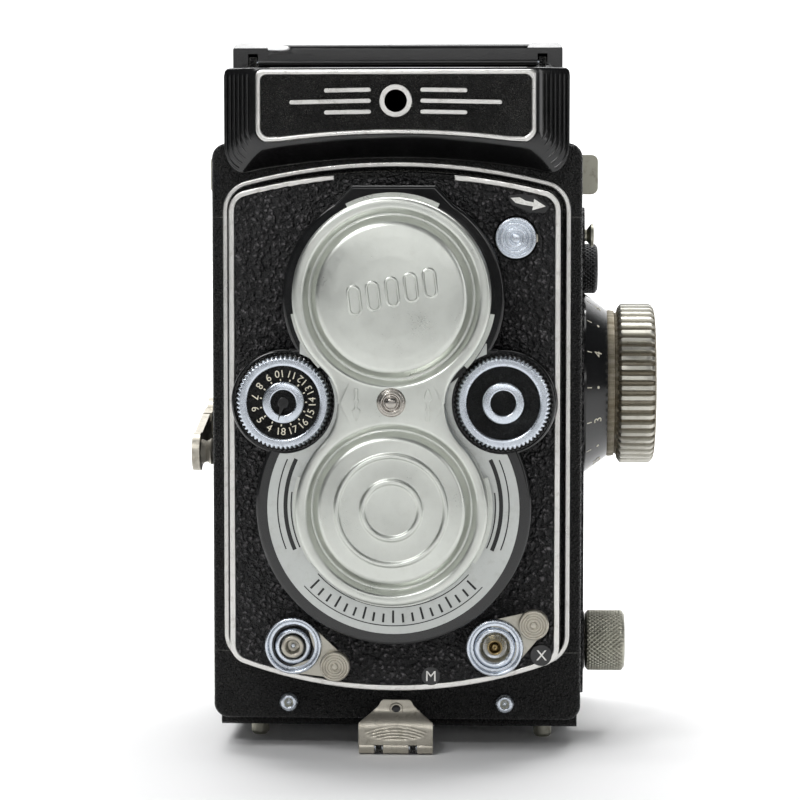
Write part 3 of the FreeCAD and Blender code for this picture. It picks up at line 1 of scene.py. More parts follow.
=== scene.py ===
"""Twin lens reflex camera: detailed pieces, materials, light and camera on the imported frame.

Mesh code below works in millimetres in the row frame; put() turns the result into metres.
"""

import math

import bmesh
import bpy
from mathutils import Matrix, Vector


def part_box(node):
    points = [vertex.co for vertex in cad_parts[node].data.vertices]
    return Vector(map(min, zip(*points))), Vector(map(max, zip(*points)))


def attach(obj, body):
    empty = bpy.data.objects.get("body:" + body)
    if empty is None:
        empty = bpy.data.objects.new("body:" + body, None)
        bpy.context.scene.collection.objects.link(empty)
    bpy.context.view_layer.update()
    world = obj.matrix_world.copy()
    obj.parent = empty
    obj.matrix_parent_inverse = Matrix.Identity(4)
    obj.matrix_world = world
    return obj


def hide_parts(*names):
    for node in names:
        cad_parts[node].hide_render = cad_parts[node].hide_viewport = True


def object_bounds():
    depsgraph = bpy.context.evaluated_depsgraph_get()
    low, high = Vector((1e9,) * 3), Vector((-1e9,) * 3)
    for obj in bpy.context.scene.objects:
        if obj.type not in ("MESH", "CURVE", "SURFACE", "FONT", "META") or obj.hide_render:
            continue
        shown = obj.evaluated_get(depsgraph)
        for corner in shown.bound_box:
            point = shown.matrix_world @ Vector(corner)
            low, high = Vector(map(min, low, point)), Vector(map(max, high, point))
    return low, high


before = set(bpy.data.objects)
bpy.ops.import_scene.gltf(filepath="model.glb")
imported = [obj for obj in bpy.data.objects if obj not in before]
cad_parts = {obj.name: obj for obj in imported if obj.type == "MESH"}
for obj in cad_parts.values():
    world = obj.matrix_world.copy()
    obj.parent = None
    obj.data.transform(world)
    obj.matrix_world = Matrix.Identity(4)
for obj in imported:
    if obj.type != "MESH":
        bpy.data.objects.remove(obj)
cad_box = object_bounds()
MM = 0.001
TAU = 2 * math.pi


# ---------------------------------------------------------------- places read from the frame
def low(node):
    """Lowest corner of a CAD node, in millimetres."""
    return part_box(node)[0] * 1000


def high(node):
    """Highest corner of a CAD node, in millimetres."""
    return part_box(node)[1] * 1000


def middle(node):
    """Centre of a CAD node, in millimetres."""
    return (low(node) + high(node)) / 2


# ---------------------------------------------------------------- shader nodes
def vector_maths(tree, operation):
    """New vector math node."""
    node = tree.nodes.new("ShaderNodeVectorMath")
    node.operation = operation
    return node


def new_material(name):
    """Empty node material: returns it with its shader and coordinates in millimetres."""
    material = bpy.data.materials.new(name)
    material.use_nodes = True
    tree = material.node_tree
    shader = tree.nodes["Principled BSDF"]
    where = tree.nodes.new("ShaderNodeTexCoord")
    scale = vector_maths(tree, "SCALE")
    scale.inputs["Scale"].default_value = 1000.0
    tree.links.new(where.outputs["Object"], scale.inputs[0])
    return material, shader, scale.outputs[0]


def stretched(place, factors):
    """Coordinates scaled differently along each axis."""
    tree = place.id_data
    node = vector_maths(tree, "MULTIPLY")
    node.inputs[1].default_value = factors
    tree.links.new(place, node.inputs[0])
    return node.outputs[0]


def noise(place, scale, detail=3.0, rough=0.55, distortion=0.0):
    """Noise texture's factor."""
    tree = place.id_data
    node = tree.nodes.new("ShaderNodeTexNoise")
    node.inputs["Scale"].default_value = scale
    node.inputs["Detail"].default_value = detail
    node.inputs["Roughness"].default_value = rough
    node.inputs["Distortion"].default_value = distortion
    tree.links.new(place, node.inputs["Vector"])
    return node.outputs["Fac"]


def cells(place, scale, feature="F1", smooth=0.0, jitter=1.0):
    """Voronoi texture's distance."""
    tree = place.id_data
    node = tree.nodes.new("ShaderNodeTexVoronoi")
    node.feature = feature
    node.inputs["Scale"].default_value = scale
    node.inputs["Randomness"].default_value = jitter
    if feature == "SMOOTH_F1":
        node.inputs["Smoothness"].default_value = smooth
    tree.links.new(place, node.inputs["Vector"])
    return node.outputs["Distance"]


def ramp(factor, stops):
    """Colour ramp from (position, grey or colour) stops."""
    tree = factor.id_data
    node = tree.nodes.new("ShaderNodeValToRGB")
    elements = node.color_ramp.elements
    while len(elements) < len(stops):
        elements.new(0.5)
    for element, (position, value) in zip(elements, stops):
        element.position = position
        colour = (value, value, value) if isinstance(value, (int, float)) else value
        element.color = (*colour, 1.0)
    tree.links.new(factor, node.inputs["Fac"])
    return node.outputs["Color"]


def maths(operation, first, second, clamp=False):
    """Math node on a socket and a second socket or number."""
    tree = first.id_data
    node = tree.nodes.new("ShaderNodeMath")
    node.operation = operation
    node.use_clamp = clamp
    for socket, value in zip(node.inputs, (first, second)):
        if isinstance(value, (int, float)):
            socket.default_value = value
        else:
            tree.links.new(value, socket)
    return node.outputs[0]


def times(first, second):
    """Product of a socket and a socket or number."""
    return maths("MULTIPLY", first, second)


def blend_colour(factor, first, second):
    """Mix two colours by a factor socket."""
    tree = factor.id_data
    node = tree.nodes.new("ShaderNodeMix")
    node.data_type = "RGBA"
    if isinstance(factor, (int, float)):
        node.inputs[0].default_value = factor
    else:
        tree.links.new(factor, node.inputs[0])
    for socket, value in ((node.inputs[6], first), (node.inputs[7], second)):
        if isinstance(value, tuple):
            socket.default_value = (*value, 1.0)
        else:
            tree.links.new(value, socket)
    return node.outputs[2]


def bump(height, depth, strength=1.0, base=None):
    """Bump node, depth in millimetres."""
    tree = height.id_data
    node = tree.nodes.new("ShaderNodeBump")
    node.inputs["Strength"].default_value = strength
    node.inputs["Distance"].default_value = depth * MM
    tree.links.new(height, node.inputs["Height"])
    if base is not None:
        tree.links.new(base, node.inputs["Normal"])
    return node.outputs["Normal"]


def edge_mask(shader, radius, low_cut, high_cut):
    """Near one on convex edges, from the difference between the rounded and the true normal."""
    tree = shader.id_data
    bevel = tree.nodes.new("ShaderNodeBevel")
    bevel.samples = 4
    bevel.inputs["Radius"].default_value = radius * MM
    geometry = tree.nodes.new("ShaderNodeNewGeometry")
    dot = vector_maths(tree, "DOT_PRODUCT")
    tree.links.new(bevel.outputs[0], dot.inputs[0])
    tree.links.new(geometry.outputs["Normal"], dot.inputs[1])
    return ramp(dot.outputs["Value"], [(low_cut, 1.0), (high_cut, 0.0)])


def drive(shader, **values):
    """Set or link the shader's sockets, by name with _ for space."""
    for name, value in values.items():
        socket = shader.inputs[name.replace("_", " ")]
        if isinstance(value, bpy.types.NodeSocket):
            shader.id_data.links.new(value, socket)
        else:
            socket.default_value = (*value, 1.0) if isinstance(value, tuple) else value


# ---------------------------------------------------------------- materials
def wrinkle_paint(name, tone=0.006, grain=2.2, worn=0.5):
    """Black wrinkle enamel with painted grey glints on the ridge tops, painted shade in the hollows, and
    rubbed edges.
    """
    material, shader, place = new_material(name)
    warp = noise(place, 1.3, 2.0)
    ridges = cells(place, grain, "SMOOTH_F1", 0.35)
    fine = noise(place, grain * 2.4, 2.0, 0.6, 0.4)
    height = maths("ADD", times(ridges, -1.3), times(fine, 0.5))
    # Painted light: the ridge tops are painted lighter grey in patches as painted glints, and the hollows
    # near black as painted shade.
    specks = times(ramp(noise(place, 0.35, 5.0, 0.65), [(0.38, 0.1), (0.75, 1.0)]),
        ramp(ridges, [(0.1, 1.0), (0.45, 0.0)]))
    colour = blend_colour(specks, (tone * 0.3, tone * 0.3, tone * 0.3), (tone * 9.0, tone * 8.8, tone * 8.0))
    wear = edge_mask(shader, 0.35, 0.80, 0.97)
    wear = times(wear, ramp(noise(place, 0.9, 4.0, 0.65), [(0.40, 0.15), (0.60, worn)]))
    colour = blend_colour(wear, colour, (0.42, 0.41, 0.38))
    drive(shader, Base_Color=colour)
    rough = ramp(maths("ADD", times(warp, 0.5), times(fine, 0.5)), [(0.3, 0.20), (0.7, 0.38)])
    drive(shader, Roughness=rough, Normal=bump(height, 0.42, 1.0), Specular_IOR_Level=0.3)
    return material


def smooth_enamel(name, tone=0.003, rough=0.14):
    """Smooth black enamel with faint handling marks."""
    material, shader, place = new_material(name)
    smear = noise(place, 0.12, 5.0, 0.6)
    scratch = noise(stretched(place, (0.4, 1.0, 5.0)), 2.4, 3.0, 0.7)
    smeared = (tone * 2.2, tone * 2.2, tone * 2.3)
    drive(shader, Base_Color=ramp(smear, [(0.3, (tone, tone, tone)), (0.8, smeared)]))
    marks = maths("ADD", times(smear, 0.6), times(scratch, 0.4))
    drive(shader, Roughness=ramp(marks, [(0.3, rough * 0.8), (0.75, rough * 2.2)]))
    drive(shader, Normal=bump(noise(place, 0.5, 2.0), 0.02, 0.4))
    drive(shader, Coat_Weight=0.3, Coat_Roughness=0.12)
    return material


def pebbled_leather(name, pebble=1.05):
    """Black leatherette: irregular pebbles with creases between them, painted glints on the pebble tops and
    painted shade in the creases.
    """
    material, shader, place = new_material(name)
    tree = shader.id_data
    warp = tree.nodes.new("ShaderNodeTexNoise")
    warp.inputs["Scale"].default_value = 0.7
    warp.inputs["Detail"].default_value = 2.0
    tree.links.new(place, warp.inputs["Vector"])
    shift = vector_maths(tree, "MULTIPLY_ADD")
    shift.inputs[1].default_value = (1.6, 1.6, 1.6)
    tree.links.new(warp.outputs["Color"], shift.inputs[0])
    tree.links.new(place, shift.inputs[2])
    moved = shift.outputs[0]
    pebbles = cells(moved, pebble, "SMOOTH_F1", 0.28)
    small = cells(moved, pebble * 2.3, "SMOOTH_F1", 0.3)
    grain = noise(place, 5.0, 3.0, 0.6)
    height = maths("ADD", times(pebbles, -1.0), times(small, -0.35))
    height = maths("ADD", height, times(grain, 0.16))
    # Painted light: the pebble tops are painted lighter in patches as painted glints, and the creases near
    # black as painted shade.
    tops = ramp(pebbles, [(0.12, 1.0), (0.42, 0.0)])
    painted_top_glint = times(tops, ramp(noise(place, 0.30, 5.0, 0.65), [(0.36, 0.06), (0.70, 1.0)]))
    colour = blend_colour(painted_top_glint, (0.003, 0.003, 0.0034), (0.22, 0.208, 0.216))
    drive(shader, Base_Color=colour, Roughness=ramp(grain, [(0.3, 0.22), (0.7, 0.40)]))
    drive(shader, Normal=bump(height, 1.7, 1.0))
    drive(shader, Specular_IOR_Level=0.5)
    return material


def metal(name, colour, rough, grime=0.25, brush=(1.0, 1.0, 1.0), dirt_colour=(0.10, 0.08, 0.05),
        scratches=0.5, relief=0.01, edges=0.0):
    """Worn metal: colour drift, stains, brushed grain and fine scratches."""
    material, shader, place = new_material(name)
    drift = noise(place, 0.09, 4.0, 0.6)
    grain = noise(stretched(place, brush), 3.2, 4.0, 0.7)
    stain = ramp(noise(place, 0.55, 6.0, 0.7), [(0.52, 0.0), (0.80, grime)])
    dark = tuple(c * 0.86 for c in colour)
    tone = ramp(drift, [(0.30, dark), (0.72, colour)])
    tone = blend_colour(stain, tone, dirt_colour)
    if edges:
        tone = blend_colour(times(edge_mask(shader, 0.3, 0.7, 0.93), edges), tone, (0.85, 0.83, 0.78))
    drive(shader, Base_Color=tone)
    lines = cells(stretched(place, (0.35, 1.0, 2.4)), 0.8, "DISTANCE_TO_EDGE")
    lines = ramp(lines, [(0.0, 1.0), (0.012, 0.0)])
    lines = times(lines, scratches)
    spread = maths("ADD", times(grain, 0.5), times(drift, 0.5))
    rough_out = ramp(spread, [(0.3, rough * 0.75), (0.72, min(1.0, rough * 1.5))])
    rough_out = maths("ADD", rough_out, times(maths("ADD", stain, lines), 0.25), True)
    drive(shader, Roughness=rough_out)
    height = maths("SUBTRACT", grain, lines)
    drive(shader, Normal=bump(height, relief, 0.6), Metallic=1.0)
    return material


def clear_glass(name, tint=(0.86, 0.93, 0.97), coat=0.6):
    """Coated optical glass."""
    material, shader, place = new_material(name)
    specks = noise(place, 0.4, 5.0, 0.7)
    drive(shader, Roughness=ramp(specks, [(0.5, 0.01), (0.9, 0.10)]))
    drive(shader, Base_Color=ramp(specks, [(0.3, tint), (0.9, (0.8, 0.86, 0.9))]))
    drive(shader, Transmission_Weight=0.92, IOR=1.55, Coat_Weight=coat, Coat_Roughness=0.02,
        Coat_Tint=(0.6, 0.55, 1.0))
    return material


def ground_glass(name):
    """Matt focusing screen with fine grid lines."""
    material, shader, place = new_material(name)
    tree = shader.id_data
    grid = tree.nodes.new("ShaderNodeTexBrick")
    grid.offset = 0.0
    grid.inputs["Scale"].default_value = 0.1
    grid.inputs["Mortar Size"].default_value = 0.012
    grid.inputs["Brick Width"].default_value = 1.0
    grid.inputs["Row Height"].default_value = 1.0
    grid.inputs["Color1"].default_value = (0.62, 0.66, 0.66, 1)
    grid.inputs["Color2"].default_value = (0.62, 0.66, 0.66, 1)
    grid.inputs["Mortar"].default_value = (0.04, 0.04, 0.04, 1)
    tree.links.new(place, grid.inputs["Vector"])
    drive(shader, Base_Color=grid.outputs["Color"])
    drive(shader, Roughness=ramp(noise(place, 8.0), [(0.3, 0.45), (0.7, 0.7)]))
    drive(shader, Transmission_Weight=0.35)
    return material


def ink(name, colour):
    """Paint for figures and lines, slightly uneven."""
    material, shader, place = new_material(name)
    patch = noise(place, 1.6, 5.0, 0.7)
    dark = tuple(c * 0.62 for c in colour)
    drive(shader, Base_Color=ramp(patch, [(0.25, dark), (0.6, colour)]))
    drive(shader, Roughness=ramp(patch, [(0.3, 0.42), (0.7, 0.6)]))
    return material


def ribbed_metal(name, colour, dirt_colour, centre, floor, crest):
    """Worn metal whose grooves, nearer the knob's axis, hold brown dirt."""
    material = metal(name, colour, 0.34, 0.4, (0.5, 2, 2), dirt_colour, 0.4, 0.02)
    tree = material.node_tree
    shader = tree.nodes["Principled BSDF"]
    where = tree.nodes.new("ShaderNodeTexCoord")
    offset = vector_maths(tree, "MULTIPLY_ADD")
    offset.inputs[1].default_value = (0.0, 1000.0, 1000.0)
    offset.inputs[2].default_value = (0.0, -centre[0], -centre[1])
    tree.links.new(where.outputs["Object"], offset.inputs[0])
    reach = vector_maths(tree, "LENGTH")
    tree.links.new(offset.outputs[0], reach.inputs[0])
    share = tree.nodes.new("ShaderNodeMapRange")
    share.inputs["From Min"].default_value, share.inputs["From Max"].default_value = floor, crest
    tree.links.new(reach.outputs["Value"], share.inputs["Value"])
    patch = noise(offset.outputs[0], 0.7, 4.0, 0.7)
    fill = times(ramp(share.outputs[0], [(0.0, 1.0), (0.85, 0.0)]), ramp(patch, [(0.3, 0.45), (0.7, 0.95)]))
    old = shader.inputs["Base Color"].links[0].from_socket
    drive(shader, Base_Color=blend_colour(fill, old, dirt_colour))
    old_rough = shader.inputs["Roughness"].links[0].from_socket
    drive(shader, Roughness=maths("ADD", old_rough, times(fill, 0.35), True))
    return material


BODY_PAINT = wrinkle_paint("body wrinkle paint")
PLATE_PAINT = wrinkle_paint("name plate wrinkle paint", 0.016, 3.4, 0.35)
ENAMEL = smooth_enamel("black enamel")
GLOSS = smooth_enamel("gloss black enamel", 0.004, 0.10)
DULL_BLACK = smooth_enamel("dull black", 0.010, 0.42)
LEATHER = pebbled_leather("pebbled leather")
TRIM = metal("bright trim", (0.80, 0.79, 0.76), 0.30, 0.5, (1, 1, 1), (0.16, 0.13, 0.09), 0.7, 0.02)
CHROME = metal("chrome", (0.68, 0.73, 0.80), 0.24, 0.25, (1, 1, 1), (0.10, 0.10, 0.10), 0.6, 0.006)
SATIN = metal("satin plate", (0.60, 0.62, 0.60), 0.42, 0.22, (1, 1, 1), (0.2, 0.18, 0.12), 0.3, 0.012)
CAP = metal("cap aluminium", (0.66, 0.68, 0.635), 0.31, 0.10, (1, 1, 1), (0.22, 0.19, 0.12), 0.5, 0.003)
NICKEL = metal("aged nickel", (0.52, 0.49, 0.42), 0.33, 0.6, (3, 1, 0.5), (0.08, 0.06, 0.035), 0.6, 0.02)
KNOB = (middle("focus_knob").y, middle("focus_knob").z)
KNOB_FINISH = ribbed_metal("knob nickel", (0.60, 0.585, 0.52), (0.16, 0.125, 0.07), KNOB, 16.2, 17.1)
OLIVE = metal("knurled nickel", (0.44, 0.43, 0.36), 0.36, 0.6, (1, 1, 1), (0.05, 0.045, 0.03), 0.4, 0.02)
RIVET = metal("rivet nickel", (0.50, 0.47, 0.43), 0.22, 0.5, (1, 1, 1), (0.10, 0.08, 0.06), 0.4, 0.01)
DARK_METAL = metal("blackened steel", (0.07, 0.07, 0.072), 0.45, 0.3, (1, 1, 1), (0.03, 0.03, 0.03), 0.4,
    0.02)
BRONZE = metal("socket bronze", (0.34, 0.26, 0.13), 0.30, 0.5, (1, 1, 1), (0.05, 0.04, 0.02), 0.4, 0.01)
BRASS = metal("gear brass", (0.78, 0.60, 0.28), 0.28, 0.3, (1, 1, 1), (0.15, 0.10, 0.04), 0.4, 0.02)
MIRROR = metal("mirror silver", (0.93, 0.94, 0.95), 0.02, 0.05, (1, 1, 1), (0.3, 0.3, 0.3), 0.1, 0.0)
GLASS = clear_glass("coated glass")
SCREEN = ground_glass("ground glass")
CREAM = ink("cream figures", (0.80, 0.76, 0.62))
WHITE = ink("white figures", (0.85, 0.84, 0.80))
BLACK_INK = ink("black figures", (0.012, 0.012, 0.012))

# ---------------------------------------------------------------- finishes of the nodes that stay
KEPT = {BODY_PAINT: ["body_casting", "front_frame", "crank_cover", "hood_housing", "back_door", "lens_board"],
    ENAMEL: ["hood_lid", "lid_leaves", "hood_rear", "hood_side_left", "hood_side_right", "finder_flap",
    "magnifier_frame", "focus_scale"], GLOSS: ["lens_housing"], DULL_BLACK: ["film_gate", "shutter_case",
    "pressure_plate", "takeup_spool", "aperture_dial", "shutter_dial"],
    LEATHER: ["side_leather", "back_leather", "front_leather"], TRIM: ["body_trim", "board_trim",
    "plate_border"], CHROME: ["hinge_pins", "tripod_socket", "view_barrel", "take_barrel", "carriage_rods",
    "film_rollers", "port_collars", "aperture_wheel", "shutter_wheel"], SATIN: ["shutter_face"],
    CAP: ["cap_shell", "cap_faces"], NICKEL: ["crank_arm", "crank_hub", "crank_knob", "door_catch",
    "release_lock", "sync_slider", "release_button", "timer_knob", "focus_cam"], KNOB_FINISH: ["focus_knob"],
    OLIVE: ["feed_knob", "feet", "body_fittings"], DARK_METAL: ["takeup_knob"], PLATE_PAINT: ["name_plate"],
    BRASS: ["idler_gear", "spool_gear"], MIRROR: ["reflex_mirror"], GLASS: ["lens_glass", "magnifier_lens"],
    SCREEN: ["focusing_screen"]}
for finish, names in KEPT.items():
    for name in names:
        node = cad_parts[name]
        node.data.materials.clear()
        node.data.materials.append(finish)

# ---------------------------------------------------------------- mesh helpers, in millimetres
def put(name, mesh, finish, body, stands_for=(), sharp=38.0, soft=0.0):
    """Make an object from (vertices, faces), shade it and let it ride on a body."""
    verts, faces = mesh
    data = bpy.data.meshes.new(name)
    data.from_pydata([tuple(c * MM for c in v) for v in verts], [], faces)
    data.validate()
    edit = bmesh.new()
    edit.from_mesh(data)
    bmesh.ops.remove_doubles(edit, verts=edit.verts, dist=1e-6)
    bmesh.ops.recalc_face_normals(edit, faces=edit.faces)
    edit.to_mesh(data)
    edit.free()
    for face in data.polygons:
        face.use_smooth = True
    data.set_sharp_from_angle(angle=math.radians(sharp))
    data.materials.append(finish)
    piece = bpy.data.objects.new(name, data)
    bpy.context.collection.objects.link(piece)
    if soft:
        soften(piece, soft)
    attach(piece, body)
    if stands_for:
        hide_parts(*stands_for)
    return piece


def soften(piece, width, segments=2):
    """Small rounding on every sharp edge, in millimetres."""
    bevel = piece.modifiers.new("rounding", "BEVEL")
    bevel.width = width * MM
    bevel.segments = segments
    bevel.limit_method = "ANGLE"
    bevel.angle_limit = math.radians(35)
    bevel.harden_normals = False


def merge(meshes):
    """Several (vertices, faces) as one."""
    verts, faces = [], []
    for more_verts, more_faces in meshes:
        start = len(verts)
        verts += more_verts
        faces += [tuple(i + start for i in face) for face in more_faces]
    return verts, faces


def moved(mesh, matrix):
    """The mesh after a 4 x 4 matrix."""
    return [tuple(matrix @ Vector(v)) for v in mesh[0]], mesh[1]


def grid_faces(rows, columns, closed=True):
    """Quads between consecutive rows of points."""
    faces = []
    for r in range(rows - 1):
        for c in range(columns if closed else columns - 1):
            d = (c + 1) % columns
            faces.append((r * columns + c, r * columns + d, (r + 1) * columns + d, (r + 1) * columns + c))
    return faces


def lathe(profile, centre, along="y", segments=128, shape=None):
    """Turn (radius, position) points about a line along X, Y or Z; shape may change the radius by angle."""
    verts = []
    for radius, position in profile:
        for k in range(segments):
            angle = TAU * k / segments
            r = shape(angle, radius, position) if shape else radius
            u, v = r * math.cos(angle), r * math.sin(angle)
            if along == "y":
                verts.append((centre[0] + u, position, centre[1] + v))
            elif along == "x":
                verts.append((position, centre[0] + u, centre[1] + v))
            else:
                verts.append((centre[0] + u, centre[1] + v, position))
    return verts, grid_faces(len(profile), segments)


def rounded(profile, radius=0.12, steps=3):
    """The profile with each inner corner cut into a short arc."""
    points = [profile[0]]
    for before, here, after in zip(profile, profile[1:], profile[2:]):
        a, b, c = Vector(before), Vector(here), Vector(after)
        reach = min(radius, (a - b).length * 0.45, (c - b).length * 0.45)
        if reach < 1e-4:
            points.append(here)
            continue
        start, end = b + (a - b).normalized() * reach, b + (c - b).normalized() * reach
        for k in range(steps + 1):
            t = k / steps
            points.append(tuple((1 - t) ** 2 * start + 2 * t * (1 - t) * b + t**2 * end))
    points.append(profile[-1])
    return points


def prism(outline, y0, y1):
    """Solid between two copies of a closed (x, z) outline."""
    count = len(outline)
    verts = [(x, y0, z) for x, z in outline] + [(x, y1, z) for x, z in outline]
    faces = [tuple(range(count)), tuple(reversed(range(count, 2 * count)))]
    faces += [(k, (k + 1) % count, (k + 1) % count + count, k + count) for k in range(count)]
    return verts, faces


def arc(centre, radius, start, end, steps):
    """Points on an arc, angles in degrees."""
    return [
        (
            centre[0] + radius * math.cos(math.radians(start + (end - start) * k / steps)),
            centre[1] + radius * math.sin(math.radians(start + (end - start) * k / steps)),
        )
        for k in range(steps + 1)
    ]


def band(centre, inner, outer, start, end, y0, y1, steps=48):
    """Flat curved strip between two arcs."""
    rim = arc(centre, outer, start, end, steps)
    return prism(rim + list(reversed(arc(centre, inner, start, end, steps))), y0, y1)


def tube(points, radius, sides=10):
    """Round bar along a list of 3-D points, with closed ends."""
    points = [Vector(p) for p in points]
    verts = []
    side = None
    for k, point in enumerate(points):
        ahead = (points[min(k + 1, len(points) - 1)] - points[max(k - 1, 0)]).normalized()
        side = (ahead.orthogonal() if side is None else side - ahead * side.dot(ahead)).normalized()
        up = ahead.cross(side)
        for s in range(sides):
            angle = TAU * s / sides
            verts.append(tuple(point + (side * math.cos(angle) + up * math.sin(angle)) * radius))
    faces = grid_faces(len(points), sides)
    faces += [tuple(range(sides)), tuple(reversed(range(len(verts) - sides, len(verts))))]
    return verts, faces


def glyphs(text, size, depth=0.04):
    """Figures as a mesh in their own XY plane, centred, depth towards +Z, in millimetres."""
    curve = bpy.data.curves.new("figure", "FONT")
    curve.body = text
    curve.size = size
    curve.extrude = depth / 2
    curve.align_x = "CENTER"
    curve.align_y = "CENTER"
    holder = bpy.data.objects.new("figure", curve)
    bpy.context.collection.objects.link(holder)
    bpy.context.view_layer.update()
    data = bpy.data.meshes.new_from_object(holder.evaluated_get(bpy.context.evaluated_depsgraph_get()))
    mesh = [tuple(v.co) for v in data.vertices], [tuple(f.vertices) for f in data.polygons]
    bpy.data.objects.remove(holder)
    bpy.data.meshes.remove(data)
    return mesh


def facing_front(x, y, z, turn=0.0):
    """Matrix that stands a flat figure up in front of the camera, turned in its plane, in degrees."""
    return (Matrix.Translation((x, y, z)) @ Matrix.Rotation(math.radians(90), 4,
        "X") @ Matrix.Rotation(math.radians(turn), 4, "Z"))


# ---------------------------------------------------------------- driving places
VIEW = (0.0, middle("view_barrel").z)
TAKE = (0.0, middle("take_barrel").z)
BOARD_Y = low("front_leather").y + 0.45
FACE_Y = low("shutter_face").y
CAP_Y = low("cap_shell").y
CAP_BACK = high("cap_shell").y

# ---------------------------------------------------------------- lens cap
CAP_WAIST = 10.6
CAP_HALF = {VIEW: 19.6, TAKE: 19.0}
WAIST_Z = (VIEW[1] + TAKE[1]) / 2


def cap_reach(centre, angle):
    """Distance from a cap disc's centre to its outline, and whether that is the open edge."""
    radius = CAP_HALF[centre]
    towards = -1.0 if centre is VIEW else 1.0
    drop = abs(centre[1] - WAIST_Z)
    bend = (CAP_WAIST**2 + drop**2 - radius**2) / (2 * (radius - CAP_WAIST))
    hub_x, hub_z = CAP_WAIST + bend, towards * drop
    x, z = abs(math.cos(angle)), math.sin(angle)
    reach_mid = drop / (z * towards) if z * towards > 1e-6 else 1e9
    along = x * hub_x + z * hub_z
    under = along**2 - (hub_x**2 + hub_z**2 - bend**2)
    touch = math.atan2(hub_z, hub_x)
    here = math.atan2(z, x)
    past = here < touch if towards < 0 else here > touch
    if not past:
        return radius, True
    if under > 0:
        reach = along - math.sqrt(under)
        if reach < reach_mid:
            return reach, True
    return reach_mid, False


def cap_half(centre, profile, steps=360):
    """One disc of the cap with its share of the waist, down to the open edge."""
    rows = []
    for k in range(steps):
        angle = TAU * k / steps
        reach, is_edge = cap_reach(centre, angle)
        points = list(profile)
        if is_edge:
            points += [(reach - 0.9, 0.0), (reach - 0.45, -0.07), (reach - 0.15, -0.3), (reach, -0.75)]
            points += [(reach, -2.5), (reach, -(CAP_BACK - CAP_Y))]
        else:
            points += [(reach, 0.0)] * 6
        c, s = math.cos(angle), math.sin(angle)
        rows.append([(centre[0] + r * c, CAP_Y - h, centre[1] + r * s) for r, h in points])
    count = len(rows[0])
    verts = [rows[k][j] for j in range(count) for k in range(steps)]
    return verts, grid_faces(count, steps)


# (radius, height above the cap's face) of the pressed discs
UPPER_PROFILE = rounded([(0.0, 0.75), (4.0, 0.71), (8.0, 0.56), (12.0, 0.26), (14.2, -0.02), (14.9, -0.35),
    (15.9, -1.9), (16.5, -2.0), (17.2, -0.5), (17.6, -0.06), (18.2, 0.0)], 0.4, 5)
LOWER_PROFILE = rounded([(0.0, 0.20), (5.0, 0.22), (5.35, 0.62), (5.95, 0.62), (6.3, 0.20), (10.2, 0.16),
    (10.5, 0.55), (11.0, 0.55), (11.35, 0.12), (14.0, -0.05), (14.6, -0.4), (15.5, -1.8), (16.0, -1.9),
    (16.7, -0.45), (17.1, -0.06), (17.6, 0.0)], 0.3, 5)
cap_parts = [cap_half(VIEW, UPPER_PROFILE), cap_half(TAKE, LOWER_PROFILE)]
# Short lips at the open edge, as (disc, angle, half spread) in degrees
lips = ((VIEW, 90, 27), (VIEW, -27, 17), (VIEW, 207, 17), (TAKE, -8, 26), (TAKE, 188, 26), (TAKE, 270, 22))
for centre, angle, spread in lips:
    inner, outer = CAP_HALF[centre] - 0.5, CAP_HALF[centre] + 0.9
    start, end = angle - spread, angle + spread
    cap_parts.append(band(centre, inner, outer, start, end, CAP_BACK - 0.9, CAP_BACK - 0.1))
put("lens_cap_shell", merge(cap_parts), CAP, "lens_cap", ["cap_shell", "cap_faces"], 45.0)
inner_wall = [(18.4, CAP_BACK), (18.4, CAP_Y + 2.0), (15.0, CAP_Y + 2.0), (0.0, CAP_Y + 1.4)]
smaller_wall = [(r - 0.6 if r > 16 else r, y) for r, y in inner_wall]
lining = merge([lathe(inner_wall, VIEW), lathe(smaller_wall, TAKE)])
put("lens_cap_lining", lining, DULL_BLACK, "lens_cap")


def pressed_loop(x, z, width, height, turn, depth_at):
    """Closed ridge round a tall rounded outline, pressed up from the dome."""
    r = width / 2
    loop = arc((0, height / 2 - r), r, 0, 180, 10) + arc((0, r - height / 2), r, 180, 360, 10)
    loop += loop[:2]
    c, s = math.cos(math.radians(turn)), math.sin(math.radians(turn))
    points = [(x + a * c - b * s, z + a * s + b * c) for a, b in loop]
    return tube([(px, depth_at(px, pz), pz) for px, pz in points], 0.32, 8)


def on_dome(x, z):
    """Surface of the upper disc of the cap."""
    return CAP_Y - 0.75 + 0.0034 * (x**2 + (z - VIEW[1]) ** 2) + 0.04


SLANT = 13             # slope of the row of loops, in degrees
LOOP_PITCH = 3.7
LOOP_SIZE = (2.3, 5.6)
loops = []
for k in range(5):
    x = -7.2 + LOOP_PITCH * k
    z = VIEW[1] + 1.0 + x * math.tan(math.radians(SLANT))
    loops.append(pressed_loop(x, z, *LOOP_SIZE, SLANT - 6, on_dome))
put("cap_pressed_loops", merge(loops), CAP, "lens_cap")


def pressed_arrow(x, z, way):
    """Raised arrow with a long head, pointing up or down."""
    half = [(0.0, 3.3), (0.55, 2.3), (0.85, 1.0), (0.35, 0.7), (0.32, -0.6), (0.55, -0.9), (0.30, -1.3)]
    half.append((0.42, -3.2))
    outline = [(x + a, z + way * b) for a, b in half]
    outline += [(x - a, z + way * b) for a, b in reversed(half[1:])]
    return prism(outline, CAP_Y - 0.34, CAP_Y + 0.1)


